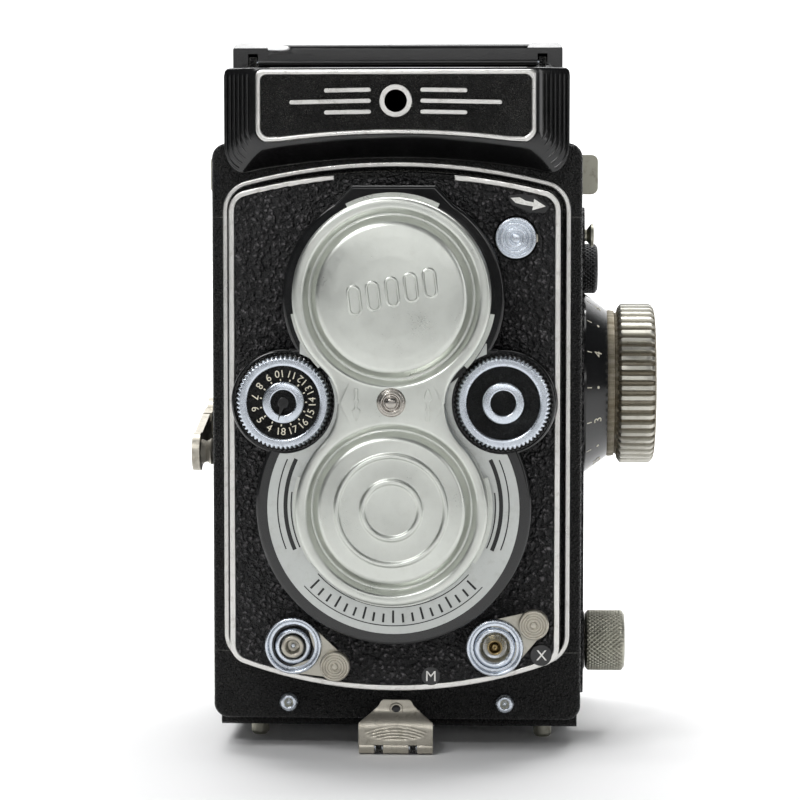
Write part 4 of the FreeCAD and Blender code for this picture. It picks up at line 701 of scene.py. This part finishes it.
arrow_z = WAIST_Z - 0.15
arrows = [pressed_arrow(-6.9, arrow_z, -1), pressed_arrow(7.2, arrow_z, 1)]
put("cap_arrows", merge(arrows), CAP, "lens_cap", soft=0.1)
rivet_rings = rounded([(0.0, -1.25), (0.7, -1.2), (1.15, -0.85), (1.25, -0.45), (1.6, -0.42), (1.8, -0.72),
    (2.1, -0.72), (2.3, -0.35), (2.6, -0.35), (2.75, -0.1), (3.0, 0.1)], 0.12, 3)
rivet = lathe([(r, CAP_Y + y) for r, y in rivet_rings], (0.0, WAIST_Z + 0.3), segments=64)
put("cap_rivet_rings", rivet, RIVET, "lens_cap")

# ---------------------------------------------------------------- shutter face: lines and ticks
marks = []
for side in (0, 180):
    for inner, outer, reach_up, reach_down in ((23.0, 23.25, 24, 22), (21.15, 21.95, 26, 24),
        (20.3, 20.55, 8, 24)):
        start, end = (-reach_down, reach_up) if side == 0 else (180 - reach_up, 180 + reach_down)
        marks.append(band(TAKE, inner, outer, start, end, FACE_Y - 0.03, FACE_Y + 0.05))
for k in range(-9, 10):
    angle = 270 + 5.0 * k
    long_tick = k % 3 == 0
    marks.append(band(TAKE, 20.9 if long_tick else 21.6, 23.4, angle - 0.55, angle + 0.55, FACE_Y - 0.03,
        FACE_Y + 0.05, 4))
marks.append(band(TAKE, 20.2, 20.4, 222, 318, FACE_Y - 0.03, FACE_Y + 0.05))
marks.append(band(TAKE, 23.9, 24.1, 222, 318, FACE_Y - 0.03, FACE_Y + 0.05))
put("face_plate_lines", merge(marks), BLACK_INK, "lens_board")


# ---------------------------------------------------------------- setting wheels
def serration(count, depth, sharpness=1.0):
    """Radius change for a knurled rim."""
    def shape(angle, radius, position):
        wave = 0.5 - 0.5 * math.cos(angle * count)
        return radius - depth * wave**sharpness
    return shape


WHEEL_Z = middle("aperture_wheel").z
WHEEL_TEETH = 62


def make_wheel(name, dial):
    """Black skirt, bright serrated rim, flat dial and bright hub ring."""
    x = middle(name).x
    front = low(name).y
    teeth = serration(WHEEL_TEETH, 0.42, 1.4)
    shallow = serration(WHEEL_TEETH, 0.12)
    skirt_teeth = serration(WHEEL_TEETH, 0.35)

    def rim_shape(angle, radius, position):
        if radius > 9.0:
            return teeth(angle, radius, position)
        return shallow(angle, radius, position) if radius > 8.7 else radius

    def skirt_shape(angle, radius, position):
        return skirt_teeth(angle, radius, position) if radius > 9.5 else radius

    def turned(part, rings, corner, steps, finish, stands_for=(), segments=96, shape=None):
        """Ring of the wheel from (radius, depth behind its front) points."""
        profile = rounded([(r, front + depth) for r, depth in rings], corner, steps)
        mesh = lathe(profile, (x, WHEEL_Z), segments=segments, shape=shape)
        put(name + part, mesh, finish, name, stands_for)

    rim = [(7.25, 0.55), (7.35, 0.12), (7.7, 0.0), (8.75, 0.0), (9.35, 0.35), (9.35, 2.3), (8.0, 2.4)]
    turned("_rim", rim, 0.16, 3, CHROME, [name], WHEEL_TEETH * 8, rim_shape)
    skirt = [(8.9, 2.2), (9.75, 2.3), (9.9, 2.6), (9.9, 3.3), (6.0, 3.4)]
    turned("_skirt", skirt, 0.12, 2, GLOSS, (), WHEEL_TEETH * 6, skirt_shape)
    hub = lathe([(2.0, front + 1.0), (2.0, high(name).y)], (x, WHEEL_Z), segments=48)
    put(name + "_shaft", hub, NICKEL, name)
    face = [(0.0, 0.42), (2.45, 0.42), (2.55, 0.62), (4.15, 0.62), (4.2, 0.5), (7.32, 0.5), (7.32, 1.2)]
    turned("_dial", face, 0.05, 2, DIAL, [dial])
    ring = [(2.5, 0.65), (2.55, 0.2), (2.75, 0.1), (3.9, 0.22), (4.15, 0.38), (4.15, 0.65)]
    turned("_hub_ring", ring, 0.08, 3, CHROME)


DIAL = wrinkle_paint("dial black", 0.012, 7.0, 0.0)
make_wheel("aperture_wheel", "aperture_dial")
make_wheel("shutter_wheel", "shutter_dial")

dial_x, dial_y = middle("aperture_wheel").x, low("aperture_wheel").y + 0.47
DIAL_STEP = 24         # degrees between figures
FIGURE_RING = 5.85
figures, ticks = [], []
for k in range(15):
    turn = 241 - DIAL_STEP * k
    angle = math.radians(turn)
    spot = (dial_x + FIGURE_RING * math.cos(angle), dial_y, WHEEL_Z + FIGURE_RING * math.sin(angle))
    figures.append(moved(glyphs(str(4 + k), 2.05), facing_front(*spot, turn + 90)))
    ticks.append(band((dial_x, WHEEL_Z), 4.35, 4.75, turn - 1.6, turn + 1.6, dial_y - 0.02, dial_y + 0.1, 2))
put("aperture_figures", merge(figures + ticks), CREAM, "aperture_wheel")
teardrop = arc((0, 0), 1.15, 20, 340, 20) + [(3.9, 0.0)]
c, s = math.cos(math.radians(254)), math.sin(math.radians(254))
outline = [(dial_x + a * c - b * s, WHEEL_Z + a * s + b * c) for a, b in teardrop]
pointer = prism(outline, dial_y - 0.42, dial_y + 0.1)
put("aperture_pointer", pointer, GLOSS, "aperture_wheel", soft=0.12)

# ---------------------------------------------------------------- release, flash socket and small levers
def turned_piece(name, spot, rings, finish, body, slot, stands_for=(), segments=72):
    """Round fitting on the board from (radius, height above the board) points."""
    profile = rounded([(r, BOARD_Y - h) for r, h in rings], 0.14, 3)
    put(name, lathe(profile, spot, segments=segments), finish, body, stands_for)


RELEASE = (middle("release_button").x, middle("release_button").z)
COLLAR_REACH = 5.6     # from a collar's centre to the edge of its lever plate
SOCKET = (low("sync_slider").x + COLLAR_REACH, low("sync_slider").z + COLLAR_REACH)
collar = [(4.3, 0.0), (4.3, 0.97), (5.8, 0.97), (5.8, 1.3), (5.6, 1.7), (5.3, 1.78), (5.05, 1.6), (4.95, 1.0)]
collar.append((4.9, 0.6))
well = [(4.9, 1.0), (4.5, 0.75), (3.9, 0.7), (3.75, -0.6)]
for name, spot in (("release_collar", RELEASE), ("socket_collar", SOCKET)):
    replaced = ["port_collars"] if name == "release_collar" else []
    turned_piece(name + "_outer", spot, collar, CHROME, "lens_board", "bright_trim", replaced)
    turned_piece(name + "_well", spot, well, GLOSS, "lens_board", "gloss_paint")
button = ("release_button", "nickel")
cup = [(3.55, -2.6), (3.55, 1.9), (3.3, 2.3), (2.8, 2.35), (2.55, 2.0), (2.4, 0.4), (1.6, 0.3)]
turned_piece("release_cup", RELEASE, cup, CHROME, *button, ["release_button"])
plunger = [(2.3, 0.0), (2.3, 2.7), (2.05, 3.0), (1.55, 3.05), (1.3, 2.7), (1.2, 0.6), (0.0, 0.5)]
turned_piece("release_plunger", RELEASE, plunger, NICKEL, *button)
turned_piece("release_thread_pin", RELEASE, [(0.5, 0.4), (0.5, 1.5), (0.0, 1.7)], CHROME, *button, (), 32)
socket = ("lens_board", "bright_trim")
shell = [(4.15, 0.2), (4.15, 1.3), (3.8, 1.75), (3.3, 1.8), (2.9, 1.35), (2.5, -0.3), (1.5, -0.5)]
turned_piece("socket_shell", SOCKET, shell, CHROME, *socket)
barrel = [(1.55, -0.6), (1.55, 1.15), (1.35, 1.3), (1.1, 1.1), (1.05, -0.4), (0.75, -0.5)]
turned_piece("socket_barrel", SOCKET, barrel, BRONZE, *socket, (), 48)
pin = [(0.6, -0.5), (0.6, 0.7), (0.45, 0.85), (0.2, 0.8), (0.15, 0.3), (0.0, 0.3)]
turned_piece("socket_pin", SOCKET, pin, BRONZE, *socket, (), 32)


def lever_knob(name, node, spot):
    """Disc with turned grooves round a bright centre, at the end of a lever."""
    radius = LEVER_KNOB_RADIUS
    rings = [(0.0, 3.0), (radius * 0.18, 2.98), (radius * 0.24, 2.72)]
    for k in range(4):
        r = radius * (0.30 + 0.17 * k)
        rings += [(r, 2.70), (r + radius * 0.02, 2.88), (r + radius * 0.11, 2.88), (r + radius * 0.13, 2.70)]
    rings += [(radius * 0.97, 2.65), (radius, 2.4), (radius, 0.72), (radius * 0.9, 0.64)]
    profile = rounded([(r, BOARD_Y - h) for r, h in rings], 0.05, 2)
    put(name, lathe(profile, spot, segments=72), NICKEL, node, [node])


LEVER_KNOB_RADIUS = 3.05
LEVER_END = 3.0        # from a lever knob's centre to the end of its node
LOCK = (high("release_lock").x - LEVER_END, low("release_lock").z + LEVER_END)
SYNC = (high("sync_slider").x - LEVER_END, high("sync_slider").z - LEVER_END)
lever_knob("lock_lever_knob", "release_lock", LOCK)
lever_knob("sync_lever_knob", "sync_slider", SYNC)


def link_plate(name, collar, knob, body):
    """Lever plate that wraps a collar and its knob, with a bore for the collar's neck."""
    first_radius, second_radius = 5.55, 2.6
    neck_bore = 4.34
    a, b = Vector(collar), Vector(knob)
    span = b - a
    facing = math.degrees(math.atan2(span.y, span.x))
    lean = math.degrees(math.acos((first_radius - second_radius) / span.length))
    outline = arc(tuple(a), first_radius, facing + lean, facing + 360 - lean, 60)
    outline += arc(tuple(b), second_radius, facing - lean, facing + lean, 35)
    bore = [tuple(a + (Vector(p) - a).normalized() * neck_bore) for p in outline]
    count = len(outline)
    y0, y1 = BOARD_Y - 0.95, BOARD_Y - 0.62
    rings = ((outline, y1), (outline, y0), (bore, y0), (bore, y1))
    verts = [(x, y, z) for ring, y in rings for x, z in ring]
    faces = grid_faces(4, count)
    for k in range(count):
        after = (k + 1) % count
        faces.append((3 * count + k, 3 * count + after, after, k))
    put(name, (verts, faces), LEVER, body, soft=0.08)


LEVER = metal("lever nickel", (0.50, 0.48, 0.42), 0.40, 0.45, (1, 1, 1), (0.14, 0.11, 0.06), 0.4, 0.02)
link_plate("release_lever_plate", RELEASE, LOCK, "release_lock")
link_plate("sync_lever_plate", SOCKET, SYNC, "sync_slider")

TIMER_RADIUS = 4.1
TIMER = (low("timer_knob").x + TIMER_RADIUS, middle("timer_knob").z)
timer_rings = [(0.0, 3.1), (0.85, 3.08), (1.05, 2.7), (1.35, 2.7), (1.45, 2.95), (2.0, 2.95), (2.1, 2.65),
    (2.45, 2.65), (2.55, 2.9), (3.1, 2.9), (3.2, 2.4), (3.45, 2.4), (3.5, 2.7), (4.0, 2.65), (4.1, 2.4),
    (4.1, 1.0), (3.6, 0.8)]
timer_profile = rounded([(r, BOARD_Y - h) for r, h in timer_rings], 0.06, 2)
timer_lathe = lathe(timer_profile, TIMER, segments=96)
put("timer_lever_knob", timer_lathe, CHROME, "timer_knob", ["timer_knob"])
tab = prism([(TIMER[0] + a, TIMER[1] + b) for a, b in ((3.7, -1.0), (4.4, -0.7), (4.4, 0.7), (3.7, 1.0))],
    BOARD_Y - 1.9, BOARD_Y - 1.0)
put("timer_lever_tab", tab, NICKEL, "timer_knob", soft=0.1)

# White arrow and flash letters on smooth patches of the leather
ARROW_TAIL = (TIMER[0] - 1.1, TIMER[1] + 8.0)
bent_arrow = [(0.0, 0.0), (1.8, 0.1), (3.1, -0.6), (4.6, -0.9), (4.7, -0.2), (7.0, -1.7), (4.3, -2.5),
    (4.5, -1.7), (2.2, -1.3), (1.0, -1.0)]
arrow_patch = [(-0.6, 0.4), (0.2, -1.4), (3.8, -3.0), (6.8, -3.0), (7.8, -1.8), (4.8, 0.5), (1.8, 0.8)]
arrow = prism([(ARROW_TAIL[0] + a, ARROW_TAIL[1] + b) for a, b in bent_arrow], BOARD_Y - 0.62, BOARD_Y - 0.4)
put("timer_arrow", arrow, WHITE, "lens_board", soft=0.05)
patch_y = BOARD_Y - 0.52
patches = [arc((7.4, 13.6), 1.9, 0, 360, 24)[:-1], arc((29.6, 18.0), 2.2, 0, 360, 24)[:-1],
    [(ARROW_TAIL[0] + a, ARROW_TAIL[1] + b) for a, b in arrow_patch]]
patches = [prism(outline, patch_y, BOARD_Y - 0.1) for outline in patches]
put("letter_patches", merge(patches), DULL_BLACK, "lens_board", soft=0.1)
letters = []
for mark, x, z in (("M", 7.4, 13.5), ("X", 29.7, 17.9)):
    letters.append(moved(glyphs(mark, 3.0), facing_front(x, patch_y - 0.005, z)))
put("flash_letters", merge(letters), WHITE, "lens_board")

# ---------------------------------------------------------------- rivets and catch
RIVET_HALF_SPAN = 22.2
RIVET_Z = low("body_trim").z - 2.8
FRONT_Y = high("body_trim").y
rivets = []
for spot in ((RIVET_HALF_SPAN, RIVET_Z), (-RIVET_HALF_SPAN, RIVET_Z)):
    rings = [(1.95, 0.0), (1.85, 0.5), (1.45, 0.95), (1.1, 1.0), (0.85, 0.8), (0.75, 0.35), (0.45, 0.35),
        (0.35, 0.6), (0.0, 0.7)]
    rivets.append(lathe(rounded([(r, FRONT_Y - h) for r, h in rings], 0.12, 3), spot, segments=48))
put("front_rivets", merge(rivets), CHROME, "camera_body")


def catch_sheet():
    """Bent catch plate: narrow top, spreading sides and a crescent of ribs."""
    top_z, low_z = high("door_catch").z, low("door_catch").z + 2.0
    front = low("door_catch").y
    rows = 44
    columns = 61
    verts = []
    for layer in (0.0, 0.5):
        for r in range(rows + 1):
            t = r / rows
            z = top_z + (low_z - top_z) * t
            if t < 0.12:
                half = 2.6 + 0.9 * math.sqrt(t / 0.12)
            else:
                u = min(1.0, (t - 0.12) / 0.38)
                half = 3.5 + 4.1 * u**1.15
            bulge = 2.3 * (1 - math.cos(math.pi * min(1.0, max(0.0, (t - 0.15) / 0.5)))) / 2
            for c in range(columns):
                s = -1 + 2 * c / (columns - 1)
                x = half * s
                y = front + 2.45 - bulge
                inside = 1.0 - (x / 6.4) ** 2 - ((z - 0.9) / 1.7) ** 2
                if inside > 0 and layer == 0.0:
                    wave = math.hypot(x, (z + 14.0)) * TAU / 0.62
                    y += min(1.0, inside * 6) * (0.10 + 0.09 * math.cos(wave))
                verts.append((x, y + layer, z))
    front_faces = grid_faces(rows + 1, columns, False)
    offset = (rows + 1) * columns
    back_faces = [tuple(i + offset for i in reversed(face)) for face in front_faces]
    edge = []
    for r in range(rows):
        for c in (0, columns - 1):
            a, b = r * columns + c, (r + 1) * columns + c
            edge.append((a, b, b + offset, a + offset))
    for c in range(columns - 1):
        for r in (0, rows):
            a = r * columns + c
            edge.append((a, a + 1, a + 1 + offset, a + offset))
    return verts, front_faces + back_faces + edge


put("catch_plate", catch_sheet(), NICKEL, "door_catch", ["door_catch"], 50.0)
stud_y = low("door_catch").y + 2.0
STUD_PLACE = (0.0, high("door_catch").z - 2.0)
rings = [(1.5, stud_y + 0.6), (1.35, stud_y + 0.1), (1.12, stud_y + 0.08), (1.05, stud_y + 0.5)]
stud = lathe(rounded(rings, 0.06, 2), STUD_PLACE, segments=40)
put("catch_eyelet", stud, NICKEL, "door_catch")
rings = [(1.0, stud_y + 0.7), (0.95, stud_y + 0.35), (0.6, stud_y + 0.1), (0.0, stud_y)]
stud_ball = lathe(rounded(rings, 0.3, 4), STUD_PLACE, segments=40)
put("catch_stud", stud_ball, DARK_METAL, "door_catch")
# The lip is three tubes round the cross pin, with room for two knuckles
catch_axis = (low("door_catch").y + 1.4, low("door_catch").z + 1.35)
rolls = []
for x0, x1 in ((-7.6, -4.35), (-2.65, 2.65), (4.35, 7.6)):
    wall = [(0.7, x0), (1.3, x0), (1.3, x1), (0.7, x1), (0.7, x0)]
    rolls.append(lathe(wall, catch_axis, "x", 40))
put("catch_rolled_lip", merge(rolls), NICKEL, "door_catch", soft=0.1)

# ---------------------------------------------------------------- focus knob and spool knobs
GRIP = KNOB[1] - low("focus_knob").z
CONE_TIP = 15.9        # radius of the scale cone where it meets the grip
CONE_START = 0.8       # straight part of the scale before the cone
knob_in, knob_out = low("focus_knob").x, high("focus_knob").x
RIBS = 50


def knob_shape(angle, radius, position):
    """Flat ribs with narrow grooves that run out at both ends."""
    if radius < GRIP - 0.95 or not knob_in + 2.2 < position < knob_out - 0.6:
        return radius
    wave = abs(((angle * RIBS / TAU) % 1.0) - 0.5) * 2
    groove = max(0.0, 1.0 - wave / 0.56)
    return radius - 0.95 * min(1.0, groove * 2.6)


grip_profile = [(2.5, knob_in), (15.7, knob_in), (15.85, knob_in + 0.4), (15.7, knob_in + 1.5)]
grip_profile += [(15.2, knob_in + 1.7), (15.4, knob_in + 2.1), (GRIP - 0.9, knob_in + 2.3)]
grip_profile += [(GRIP - 0.05, knob_in + 2.9), (GRIP, knob_in + 3.2), (GRIP, knob_in + 5.0)]
grip_profile += [(GRIP, knob_out - 2.6), (GRIP, knob_out - 1.3), (GRIP - 0.3, knob_out - 0.8)]
grip_profile += [(GRIP - 0.95, knob_out - 0.35), (15.2, knob_out - 0.1), (14.2, knob_out)]
grip_profile += [(9.2, knob_out), (8.8, knob_out - 0.6), (2.5, knob_out - 0.6)]
grip = lathe(grip_profile, KNOB, "x", RIBS * 16, knob_shape)
put("focus_grip", grip, KNOB_FINISH, "focus", ["focus_knob"], 32.0)
screw = [(2.6, knob_out - 0.7), (2.6, knob_out - 0.2), (2.2, knob_out - 0.05), (0.0, knob_out)]
put("focus_knob_screw", lathe(rounded(screw, 0.15, 3), KNOB, "x", 48), CHROME, "focus")

skirt_low, skirt_high = low("focus_scale").x, high("focus_scale").x
base_r = middle("focus_scale").z - low("focus_scale").z


def on_skirt(along, turn, lift=0.03):
    """Matrix for a figure on the cone of the focus scale; turn is about the knob's axis, 180 at the front."""
    length = skirt_high - skirt_low - CONE_START
    t = (along - skirt_low - CONE_START) / length
    radius = base_r + (CONE_TIP - base_r) * t + lift
    a = math.radians(turn)
    slope = math.atan2(base_r - CONE_TIP, length)
    out = Vector((math.sin(slope), math.cos(a) * math.cos(slope), math.sin(a) * math.cos(slope)))
    up = Vector((0.0, -math.sin(a), math.cos(a))) * (-1.0)
    right = up.cross(out)
    place = Vector((along, KNOB[0] + radius * math.cos(a), KNOB[1] + radius * math.sin(a)))
    return Matrix.Translation(place) @ Matrix((right, up, out)).transposed().to_4x4()


scale_marks = []
SCALE_STEP = 47.0
for k, label in enumerate(["10", "6", "4", "3", "2.5", "2", "1.5"]):
    turn = 203 - SCALE_STEP * (3 - k)
    spin = Matrix.Rotation(math.radians(90), 4, "Z")
    scale_marks.append(moved(glyphs(label, 2.7), on_skirt(skirt_high - 2.0, turn) @ spin))
    dot = [(0.32 * math.cos(a), 0.32 * math.sin(a), 0) for a in [TAU * j / 12 for j in range(12)]]
    on_dot = on_skirt(skirt_high - 2.0, turn + SCALE_STEP / 2, 0.04)
    scale_marks.append(moved((dot, [tuple(range(12))]), on_dot))
    for half in (0, 1):
        bar = [(-0.6, -0.11, 0), (0.6, -0.11, 0), (0.6, 0.11, 0), (-0.6, 0.11, 0)]
        on_bar = on_skirt(skirt_low + 1.5, turn + half * SCALE_STEP / 2, 0.04)
        scale_marks.append(moved((bar, [(0, 1, 2, 3)]), on_bar))
put("focus_scale_figures", merge(scale_marks), CREAM, "focus")


def diamond(count, pitch, depth):
    """Crossed knurling on a rim along X."""
    def shape(angle, radius, position):
        a = math.cos(angle * count + position * TAU / pitch)
        b = math.cos(angle * count - position * TAU / pitch)
        return radius - depth * (1 - max(a, b)) * 0.5
    return shape


def spool_knob(name, node, finish, count, pitch, depth):
    """Knurled pull-out knob with chamfered ends and a stem."""
    spot = (middle(node).y, middle(node).z)
    radius = spot[1] - low(node).z
    x1 = high(node).x
    x0 = x1 - (8.4 if node == "feed_knob" else 3.6)
    knurl = diamond(count, pitch, depth)
    span = x1 - x0
    steps = 60
    profile = [(0.0, x0), (radius - 0.7, x0), (radius - 0.15, x0 + 0.5)]
    profile += [(radius, x0 + 0.7 + (span - 1.5) * k / steps) for k in range(steps + 1)]
    profile += [(radius - 0.15, x1 - 0.55), (radius - 0.8, x1 - 0.05), (radius - 1.6, x1), (0.0, x1 - 0.1)]

    def shape(angle, r, position):
        return knurl(angle, r, position) if r > radius - 0.05 else r

    put(name, lathe(profile, spot, "x", count * 8, shape), finish, node, [node], 60.0)
    stem = lathe([(2.4, low(node).x), (2.4, x0 + 0.2)], spot, "x", 32)
    put(name + "_stem", stem, NICKEL, node)
    plate = [(0.0, x0 - 0.9), (radius + 0.4, x0 - 0.9), (radius + 0.4, x0 - 0.4), (radius - 0.3, x0 - 0.15)]
    plate = rounded(plate + [(0.0, x0 - 0.15)], 0.12, 3)
    if node == "feed_knob":
        put(name + "_washer", lathe(plate, spot, "x", 64), GLOSS, "camera_body")


spool_knob("supply_knob", "feed_knob", OLIVE, 42, 1.15, 0.30)
spool_knob("take_up_knob", "takeup_knob", DARK_METAL, 36, 1.1, 0.26)

# ---------------------------------------------------------------- name plate nose
NOSE_FRONT, NOSE_BACK = low("name_plate").y, high("name_plate").y
HOOD_TOP = high("name_plate").z


def nose_outline(half, top, low_mid, bow, corner, steps=10):
    """Closed (x, z) outline: flat top, rounded corners, lower edge arching up in the middle."""
    side_low = low_mid - (half**2) / (2 * bow)
    points = arc((half - 1.2, top - 1.2), 1.2, 90, 0, 6)
    points += arc((half - corner, side_low + corner + 0.5), corner, 0, -78, steps)
    for k in range(1, 24):
        x = (half - corner) * (1 - 2 * k / 24)
        points.append((x, low_mid - x * x / (2 * bow)))
    points += arc((-half + corner, side_low + corner + 0.5), corner, 258, 180, steps)
    points += arc((-half + 1.2, top - 1.2), 1.2, 180, 90, 6)
    return points


def loft(sections):
    """Skin through equal-count (x, z) outlines placed at their Y."""
    verts = [(x, y, z) for y, outline in sections for x, z in outline]
    count = len(sections[0][1])
    faces = grid_faces(len(sections), count)
    faces.append(tuple(range(count)))
    return verts, faces


nose = loft([(NOSE_FRONT, nose_outline(28.3, HOOD_TOP - 0.3, 121.9 + 0.9, 185, 2.6)),
    (NOSE_FRONT + 0.05, nose_outline(28.75, HOOD_TOP - 0.2, 122.3, 185, 3.0)),
    (NOSE_FRONT + 0.6, nose_outline(29.6, HOOD_TOP - 0.05, 121.4, 180, 3.2)),
    (NOSE_BACK - 0.5, nose_outline(34.6, HOOD_TOP, 118.3, 170, 4.5)),
    (NOSE_BACK - 0.15, nose_outline(35.0, HOOD_TOP, 117.9, 170, 4.8)),
    (NOSE_BACK, nose_outline(35.0, HOOD_TOP, 117.8, 170, 4.8))])
put("hood_nose", nose, ENAMEL, "camera_body", ["name_plate"], 40.0)
ridges = []
for side in (-1, 1):
    for k in range(6):
        t = k / 5
        half = 30.2 + 4.5 * t
        y = NOSE_FRONT + 0.75 + (NOSE_BACK - NOSE_FRONT - 1.3) * t
        low_z = 121.6 - 4.4 * t - half**2 / 360 + 1.5
        corner = 3.4 + 1.6 * t
        path = [(side * half, y, HOOD_TOP - 1.4), (side * half, y, low_z + corner + 3)]
        bend = arc((half - corner, low_z + corner), corner, 0, -62, 12)
        path += [(side * x, y + 0.12, z) for x, z in bend]
        ridges.append(tube(path, 0.36, 12))
put("hood_nose_ridges", merge(ridges), ENAMEL, "camera_body")
field = prism(nose_outline(27.4, HOOD_TOP - 1.4, 123.7, 185, 1.8), NOSE_FRONT - 0.18, NOSE_FRONT + 0.3)
put("name_field", field, PLATE_PAINT, "camera_body")


def frame_ring(outer, inner, y0, y1):
    """Raised border between two outlines with the same number of points."""
    count = len(outer)
    verts = []
    for (ox, oz), (ix, iz) in zip(outer, inner):
        ring = [(0.0, y0), (0.12, y1 + 0.1), (0.28, y1), (0.72, y1), (0.88, y1 + 0.1), (1.0, y0)]
        verts.append([(ox + (ix - ox) * t, y, oz + (iz - oz) * t) for t, y in ring])
    flat = [verts[k][j] for j in range(6) for k in range(count)]
    return flat, grid_faces(6, count)


outer_edge = nose_outline(28.35, HOOD_TOP - 0.5, 122.65, 185, 2.9)
inner_edge = nose_outline(27.25, HOOD_TOP - 1.6, 123.75, 185, 1.9)
border = frame_ring(outer_edge, inner_edge, NOSE_FRONT + 0.1, NOSE_FRONT - 0.65)
put("name_plate_frame", border, TRIM, "camera_body", ["plate_border"], 50.0)


def raised_bar(x0, z0, x1, z1, width, y0, y1):
    """Round-ended raised line between two points."""
    dx, dz = x1 - x0, z1 - z0
    facing = math.degrees(math.atan2(dz, dx))
    outline = arc((x1, z1), width / 2, facing - 90, facing + 90, 8)
    outline += arc((x0, z0), width / 2, facing + 90, facing + 270, 8)
    return prism(outline, y0, y1)


mid_z = HOOD_TOP - 6.8
ornament = []
for side in (-1, 1):
    for level, reach in ((2.2, 14.0), (0.0, 21.0), (-2.2, 14.0)):
        drop = (side * reach) ** 2 / 1500
        near, far = (side * 5.4, mid_z + level), (side * reach, mid_z + level - drop)
        ornament.append(raised_bar(*near, *far, 0.9, NOSE_FRONT - 0.62, NOSE_FRONT + 0.1))
ornament.append(band((0.0, mid_z), 2.4, 3.3, 0, 359.99, NOSE_FRONT - 0.62, NOSE_FRONT + 0.1, 64))
ornament.append(band((0.0, mid_z), 0.0, 1.0, 0, 359.99, NOSE_FRONT - 0.62, NOSE_FRONT + 0.1, 32))
put("name_plate_ornament", merge(ornament), TRIM, "camera_body", soft=0.12)

# ---------------------------------------------------------------- softened edges on nodes that stay
SOFT_WIDTHS = (("hood_housing", 0.25), ("hood_lid", 0.3), ("crank_arm", 0.2), ("crank_hub", 0.15),
    ("crank_knob", 0.1), ("body_fittings", 0.15), ("lid_leaves", 0.12), ("shutter_face", 0.1),
    ("finder_flap", 0.1), ("magnifier_frame", 0.15), ("pressure_plate", 0.15), ("feet", 0.15))
for name, width in SOFT_WIDTHS:
    soften(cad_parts[name], width)

# ---------------------------------------------------------------- stage, light and camera
FLOOR_Z = cad_box[0].z


def stage_sheet():
    """Pale floor that curves up into a backdrop."""
    rows = [(-1.6, 0.0), (0.9, 0.0)]
    rows += [(0.9 + 0.7 * math.sin(a), 0.7 - 0.7 * math.cos(a)) for a in [TAU / 4 * k / 16 for k in range(1,
        17)]]
    rows.append((1.6, 3.2))
    verts = []
    for y, z in rows:
        verts += [(-3.0, y, FLOOR_Z + z), (3.0, y, FLOOR_Z + z)]
    faces = [(2 * k, 2 * k + 1, 2 * k + 3, 2 * k + 2) for k in range(len(rows) - 1)]
    data = bpy.data.meshes.new("backdrop")
    data.from_pydata(verts, [], faces)
    for face in data.polygons:
        face.use_smooth = True
    sheet = bpy.data.objects.new("backdrop", data)
    bpy.context.collection.objects.link(sheet)
    material, shader, place = new_material("pale paper")
    drive(shader, Base_Color=ramp(noise(place, 0.01, 3.0), [(0.3, 0.90), (0.7, 0.94)]))
    drive(shader, Roughness=ramp(noise(place, 0.5), [(0.3, 0.8), (0.7, 0.9)]))
    data.materials.append(material)


def softbox(name, place, aim, size, power, tint=(1.0, 1.0, 1.0)):
    """Rectangular soft light pointed at a spot."""
    data = bpy.data.lights.new(name, "AREA")
    data.shape = "RECTANGLE"
    data.size, data.size_y = size
    data.energy = power
    data.color = tint
    light = bpy.data.objects.new(name, data)
    light.location = place
    light.rotation_euler = (Vector(aim) - Vector(place)).to_track_quat("-Z", "Y").to_euler()
    bpy.context.collection.objects.link(light)
    return light


stage_sheet()
TARGET = Vector((0.0006, -0.033, 0.0688))
softbox("key", (-0.42, -0.62, 0.72), TARGET, (0.30, 0.30), 2.7)
softbox("fill", (0.70, -0.62, 0.30), TARGET, (0.18, 0.7), 1.0)
softbox("top", (0.0, 0.05, 0.95), TARGET, (0.8, 0.5), 3.0)
softbox("front", (0.12, -1.3, 0.34), TARGET, (0.7, 0.22), 1.3)
softbox("spark", (-0.22, -0.95, 0.62), TARGET, (0.06, 0.06), 1.3)
softbox("back_wash", (0.0, 0.55, 1.5), (0.0, 1.6, 0.4), (2.0, 0.6), 46)


def studio_world():
    """Dim surroundings for reflections, seen as white paper behind the object."""
    world = bpy.data.worlds.new("studio")
    world.use_nodes = True
    tree = world.node_tree
    background = tree.nodes["Background"]
    seen = tree.nodes.new("ShaderNodeLightPath").outputs["Is Camera Ray"]
    tree.links.new(ramp(seen, [(0.0, (0.07, 0.073, 0.078)), (1.0, 1.0)]), background.inputs["Color"])
    bpy.context.scene.world = world


studio_world()

YAW, RISE, DISTANCE, LENS = 2.8, 4.0, 0.560, 123.5
back = Vector((math.sin(math.radians(YAW)) * math.cos(math.radians(RISE)),
    -math.cos(math.radians(YAW)) * math.cos(math.radians(RISE)), math.sin(math.radians(RISE))))
camera_data = bpy.data.cameras.new("camera")
camera_data.lens = LENS
camera_data.sensor_width = 36.0
camera_data.clip_start = 0.01
camera = bpy.data.objects.new("camera", camera_data)
camera.location = TARGET + back * DISTANCE
camera.rotation_mode = "QUATERNION"
camera.rotation_quaternion = (-back).to_track_quat("-Z", "Y")
bpy.context.collection.objects.link(camera)
bpy.context.scene.camera = camera
bpy.context.scene.view_settings.view_transform = "Standard"
bpy.context.scene.view_settings.exposure = 0.0
